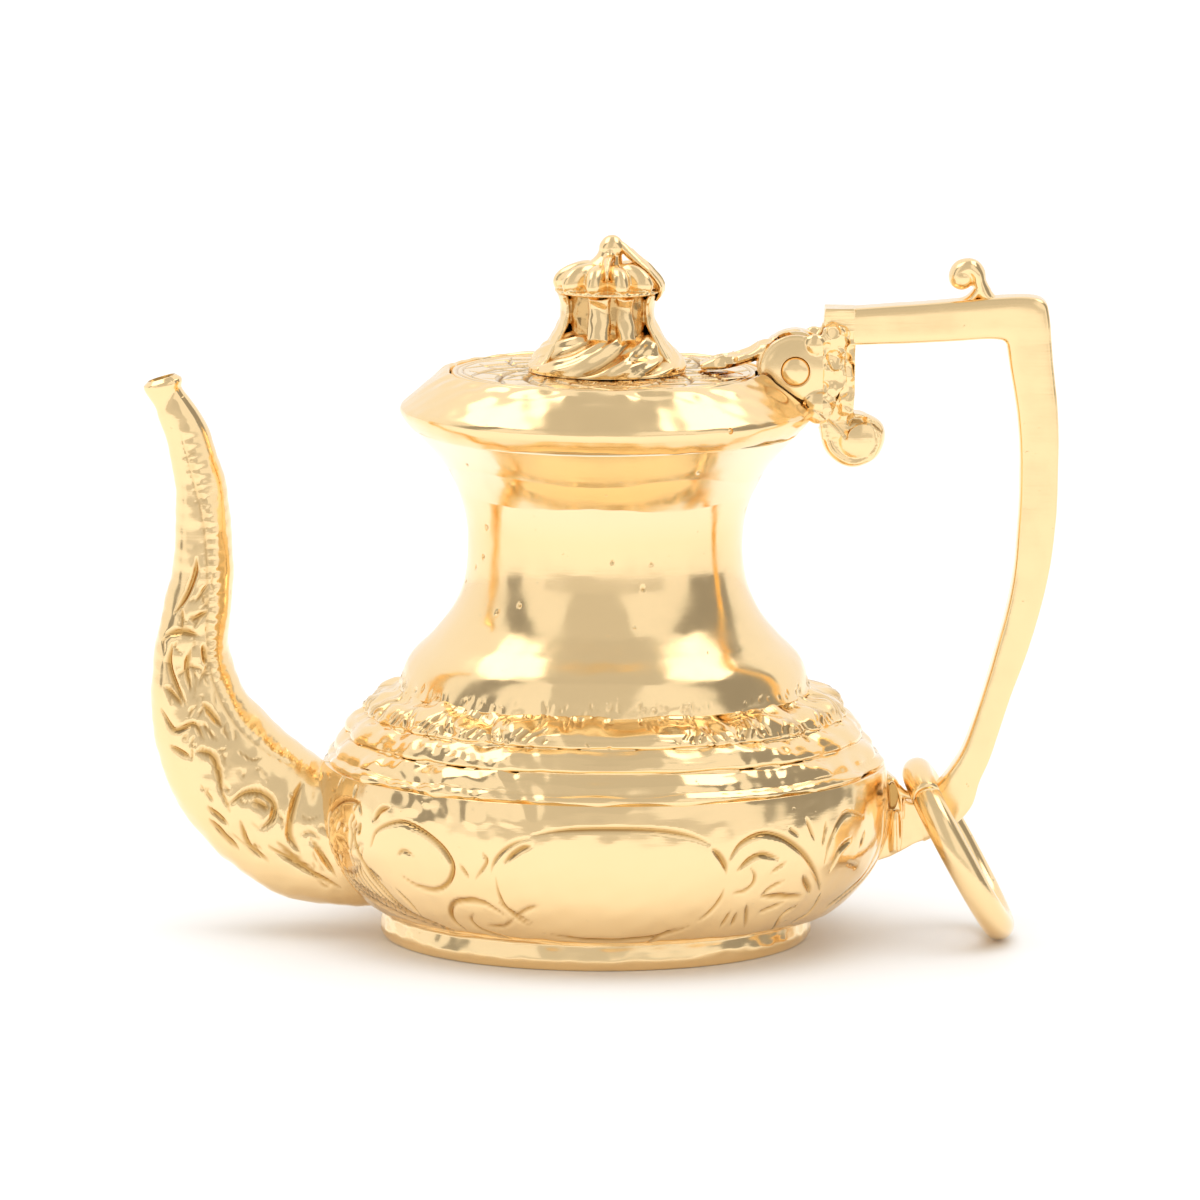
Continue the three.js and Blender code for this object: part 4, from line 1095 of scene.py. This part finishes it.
points = uneven(points, outward, 0.035, 0.45, 24)
points[:, 2] = np.maximum(points[:, 2], skirt_low.z)
# painted shade: the inside of the stem, between the columns, is painted darker
painted_hollow_shade = np.clip((1.42 - np.hypot(points[:, 0], points[:, 1])) / 0.14, 0, 1) * 0.05
add_piece("pierced_stem", points, faces, rough_gold, "lid", "finial_stem", painted_shade=painted_hollow_shade)


def lobed_cap(lobes, beads, material):
    """Geometry nodes that set lobes and beads round a ring, and end in plain gold."""
    tree = bpy.data.node_groups.new("lobed_cap", "GeometryNodeTree")
    tree.interface.new_socket("Geometry", in_out="OUTPUT", socket_type="NodeSocketGeometry")
    sockets = {}
    for socket_name, default in (("Lobes", lobes), ("Beads", beads)):
        socket = tree.interface.new_socket(socket_name, in_out="INPUT", socket_type="NodeSocketInt")
        socket.default_value = default
        sockets[socket_name] = socket.identifier
    nodes, links = tree.nodes, tree.links
    given = nodes.new("NodeGroupInput")
    join = nodes.new("GeometryNodeJoinGeometry")

    def set_round(count_name, ring_radius, height, size, droop):
        ring = nodes.new("GeometryNodeMeshCircle")
        ring.inputs["Radius"].default_value = ring_radius
        links.new(given.outputs[count_name], ring.inputs["Vertices"])
        lobe = nodes.new("GeometryNodeMeshUVSphere")
        lobe.inputs["Segments"].default_value = 40 if count_name == "Lobes" else 16
        lobe.inputs["Rings"].default_value = 24 if count_name == "Lobes" else 10
        shape = nodes.new("GeometryNodeTransform")
        shape.inputs["Scale"].default_value = size
        shape.inputs["Rotation"].default_value = (0, droop, 0)
        links.new(lobe.outputs["Mesh"], shape.inputs["Geometry"])
        number = nodes.new("GeometryNodeInputIndex")
        step = nodes.new("ShaderNodeMath")
        step.operation = "DIVIDE"
        step.inputs[0].default_value = 2 * math.pi
        links.new(given.outputs[count_name], step.inputs[1])
        angle = nodes.new("ShaderNodeMath")
        angle.operation = "MULTIPLY"
        links.new(number.outputs["Index"], angle.inputs[0])
        links.new(step.outputs["Value"], angle.inputs[1])
        turned = nodes.new("ShaderNodeCombineXYZ")
        links.new(angle.outputs["Value"], turned.inputs["Z"])
        place = nodes.new("GeometryNodeInstanceOnPoints")
        links.new(ring.outputs["Mesh"], place.inputs["Points"])
        links.new(shape.outputs["Geometry"], place.inputs["Instance"])
        links.new(turned.outputs["Vector"], place.inputs["Rotation"])
        lift = nodes.new("GeometryNodeTransform")
        lift.inputs["Translation"].default_value = (0, 0, height)
        links.new(place.outputs["Instances"], lift.inputs["Geometry"])
        links.new(lift.outputs["Geometry"], join.inputs["Geometry"])

    set_round("Lobes", 0.86, 19.84, (0.78, 0.36, 0.5), math.radians(11))
    set_round("Beads", 1.5, 19.5, (0.09, 0.16, 0.06), 0)
    core = nodes.new("GeometryNodeMeshCylinder")
    core.inputs["Vertices"].default_value = 48
    core.inputs["Radius"].default_value = 1.54
    core.inputs["Depth"].default_value = 0.1
    under = nodes.new("GeometryNodeTransform")
    under.inputs["Translation"].default_value = (0, 0, 19.5)
    links.new(core.outputs["Mesh"], under.inputs["Geometry"])
    links.new(under.outputs["Geometry"], join.inputs["Geometry"])
    real = nodes.new("GeometryNodeRealizeInstances")
    finish = nodes.new("GeometryNodeSetMaterial")
    finish.inputs["Material"].default_value = material
    result = nodes.new("NodeGroupOutput")
    links.new(join.outputs["Geometry"], real.inputs["Geometry"])
    links.new(real.outputs["Geometry"], finish.inputs["Geometry"])
    links.new(finish.outputs["Geometry"], result.inputs["Geometry"])
    return tree, sockets


cap_blank = bpy.data.objects.new("cap_blank", bpy.data.meshes.new("cap_blank"))
bpy.context.scene.collection.objects.link(cap_blank)
cap_maker = cap_blank.modifiers.new("lobed_cap", "NODES")
cap_maker.node_group, cap_sockets = lobed_cap(CAP_LOBES, CAP_BEADS, polished_gold)
cap_maker[cap_sockets["Lobes"]] = CAP_LOBES
cap_maker[cap_sockets["Beads"]] = CAP_BEADS
cap_mesh = bpy.data.meshes.new_from_object(cap_blank.evaluated_get(bpy.context.evaluated_depsgraph_get()))
cap_points = np.array([vertex.co for vertex in cap_mesh.vertices])
cap_faces = [list(polygon.vertices) for polygon in cap_mesh.polygons]
bpy.data.objects.remove(cap_blank)
points, faces, outward = worked([(cap_points, cap_faces)], voxel=0.028, smoothing=2)
points = uneven(points, outward, 0.02, 0.7, 25)
add_piece("lobed_cap", points, faces, polished_gold, "lid", "finial_cap")

_, bud_high = (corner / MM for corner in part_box("finial_bud"))
bud_parts = [ball((0.12, 0, bud_high.z - 0.36), 0.4, (0.95, 1, 1)),
             tube([(0.12, 0, 20.85), (0.08, 0, 20.6), (0.04, 0, 20.4), (0, 0, 20.2)],
                  [(0.37, 0.37), (0.37, 0.37), (0.46, 0.46), (0.62, 0.62)]),
             tube([(0.1, -0.1, 20.75), (0.04, -0.3, 20.45), (0.0, -0.62, 20.34), (-0.02, -1.0, 20.2),
                   (-0.02, -1.35, 19.95)],
                  [(0.2, 0.24), (0.18, 0.26), (0.14, 0.24), (0.1, 0.18), (0.05, 0.1)])]
points, faces, outward = worked(bud_parts, voxel=0.028, smoothing=3)
add_piece("bud", uneven(points, outward, 0.015, 0.4, 26), faces, polished_gold, "lid", "finial_bud")

leaf_path = [(0.3, 0.05, 20.94), (0.6, 0, 20.66), (0.95, -0.02, 20.36), (1.3, -0.04, 20.05),
             (1.56, -0.02, 19.7), (1.56, 0, 19.44), (1.44, 0, 19.2)]
leaf_size = [(0.12, 0.2), (0.15, 0.3), (0.14, 0.4), (0.13, 0.44), (0.12, 0.44), (0.1, 0.4), (0.06, 0.3)]
points, faces, outward = worked([
    tube(leaf_path, leaf_size, 60),
    tube(np.add(leaf_path[1:-1], (0.05, 0, 0.05)), [(0.1, 0.07)] * 5, 50)], voxel=0.028, smoothing=2)
points = uneven(points, outward, 0.03, 0.5, 27)
add_piece("long_leaf", points, faces, rough_gold, "lid", "finial_leaf")

# ---------------------------------------------------------------- jump ring
# Round gold wire, bent to a circle and left open at the saw cut. It hangs through the handle, round the lug,
# and the charm is worn by it.
RING_ROWS, RING_SIDES = 220, 36
WIRE = 0.9
RING_CUT_AT, RING_CUT_WIDTH = 144, 0.06  # degrees from the lowest point, and millimetres
FILED_END = 0.86

ring_low, ring_high = (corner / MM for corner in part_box("jump_ring"))
ring_across = (ring_high.y - ring_low.y - WIRE) / 2
ring_middle = Vector((0, (ring_low.y + ring_high.y) / 2, (ring_low.z + ring_high.z) / 2))
lean = math.acos(min(1, (ring_high.z - ring_low.z - WIRE) / 2 / ring_across))
ring_middle.x = (ring_low.x + ring_high.x) / 2
down = np.array((math.sin(lean), 0, -math.cos(lean)))
front = np.array((0, -1.0, 0))
side_way = np.cross(front, down)
rings = []
for row, turn_by in enumerate(np.linspace(0, 2 * math.pi - RING_CUT_WIDTH / ring_across, RING_ROWS)
                              + math.radians(RING_CUT_AT)):
    # the sawn ends are filed off at the edge
    wire = WIRE / 2 * (FILED_END if row in (0, RING_ROWS - 1) else 1)
    out = down * math.cos(turn_by) + front * math.sin(turn_by)
    around = np.arange(RING_SIDES)[:, None] * 2 * math.pi / RING_SIDES
    rings.append(np.array(ring_middle) + out * ring_across
                 + wire * (np.cos(around) * out + np.sin(around) * side_way))
points, faces = loft(rings)
wear = 0.008 * waves(points, 2.2, 28)
points = points + (points - points.mean(axis=0)) / ring_across * wear[:, None]
add_piece("round_wire_ring", points, faces, polished_gold, "ring", "jump_ring", smooth_angle=60)
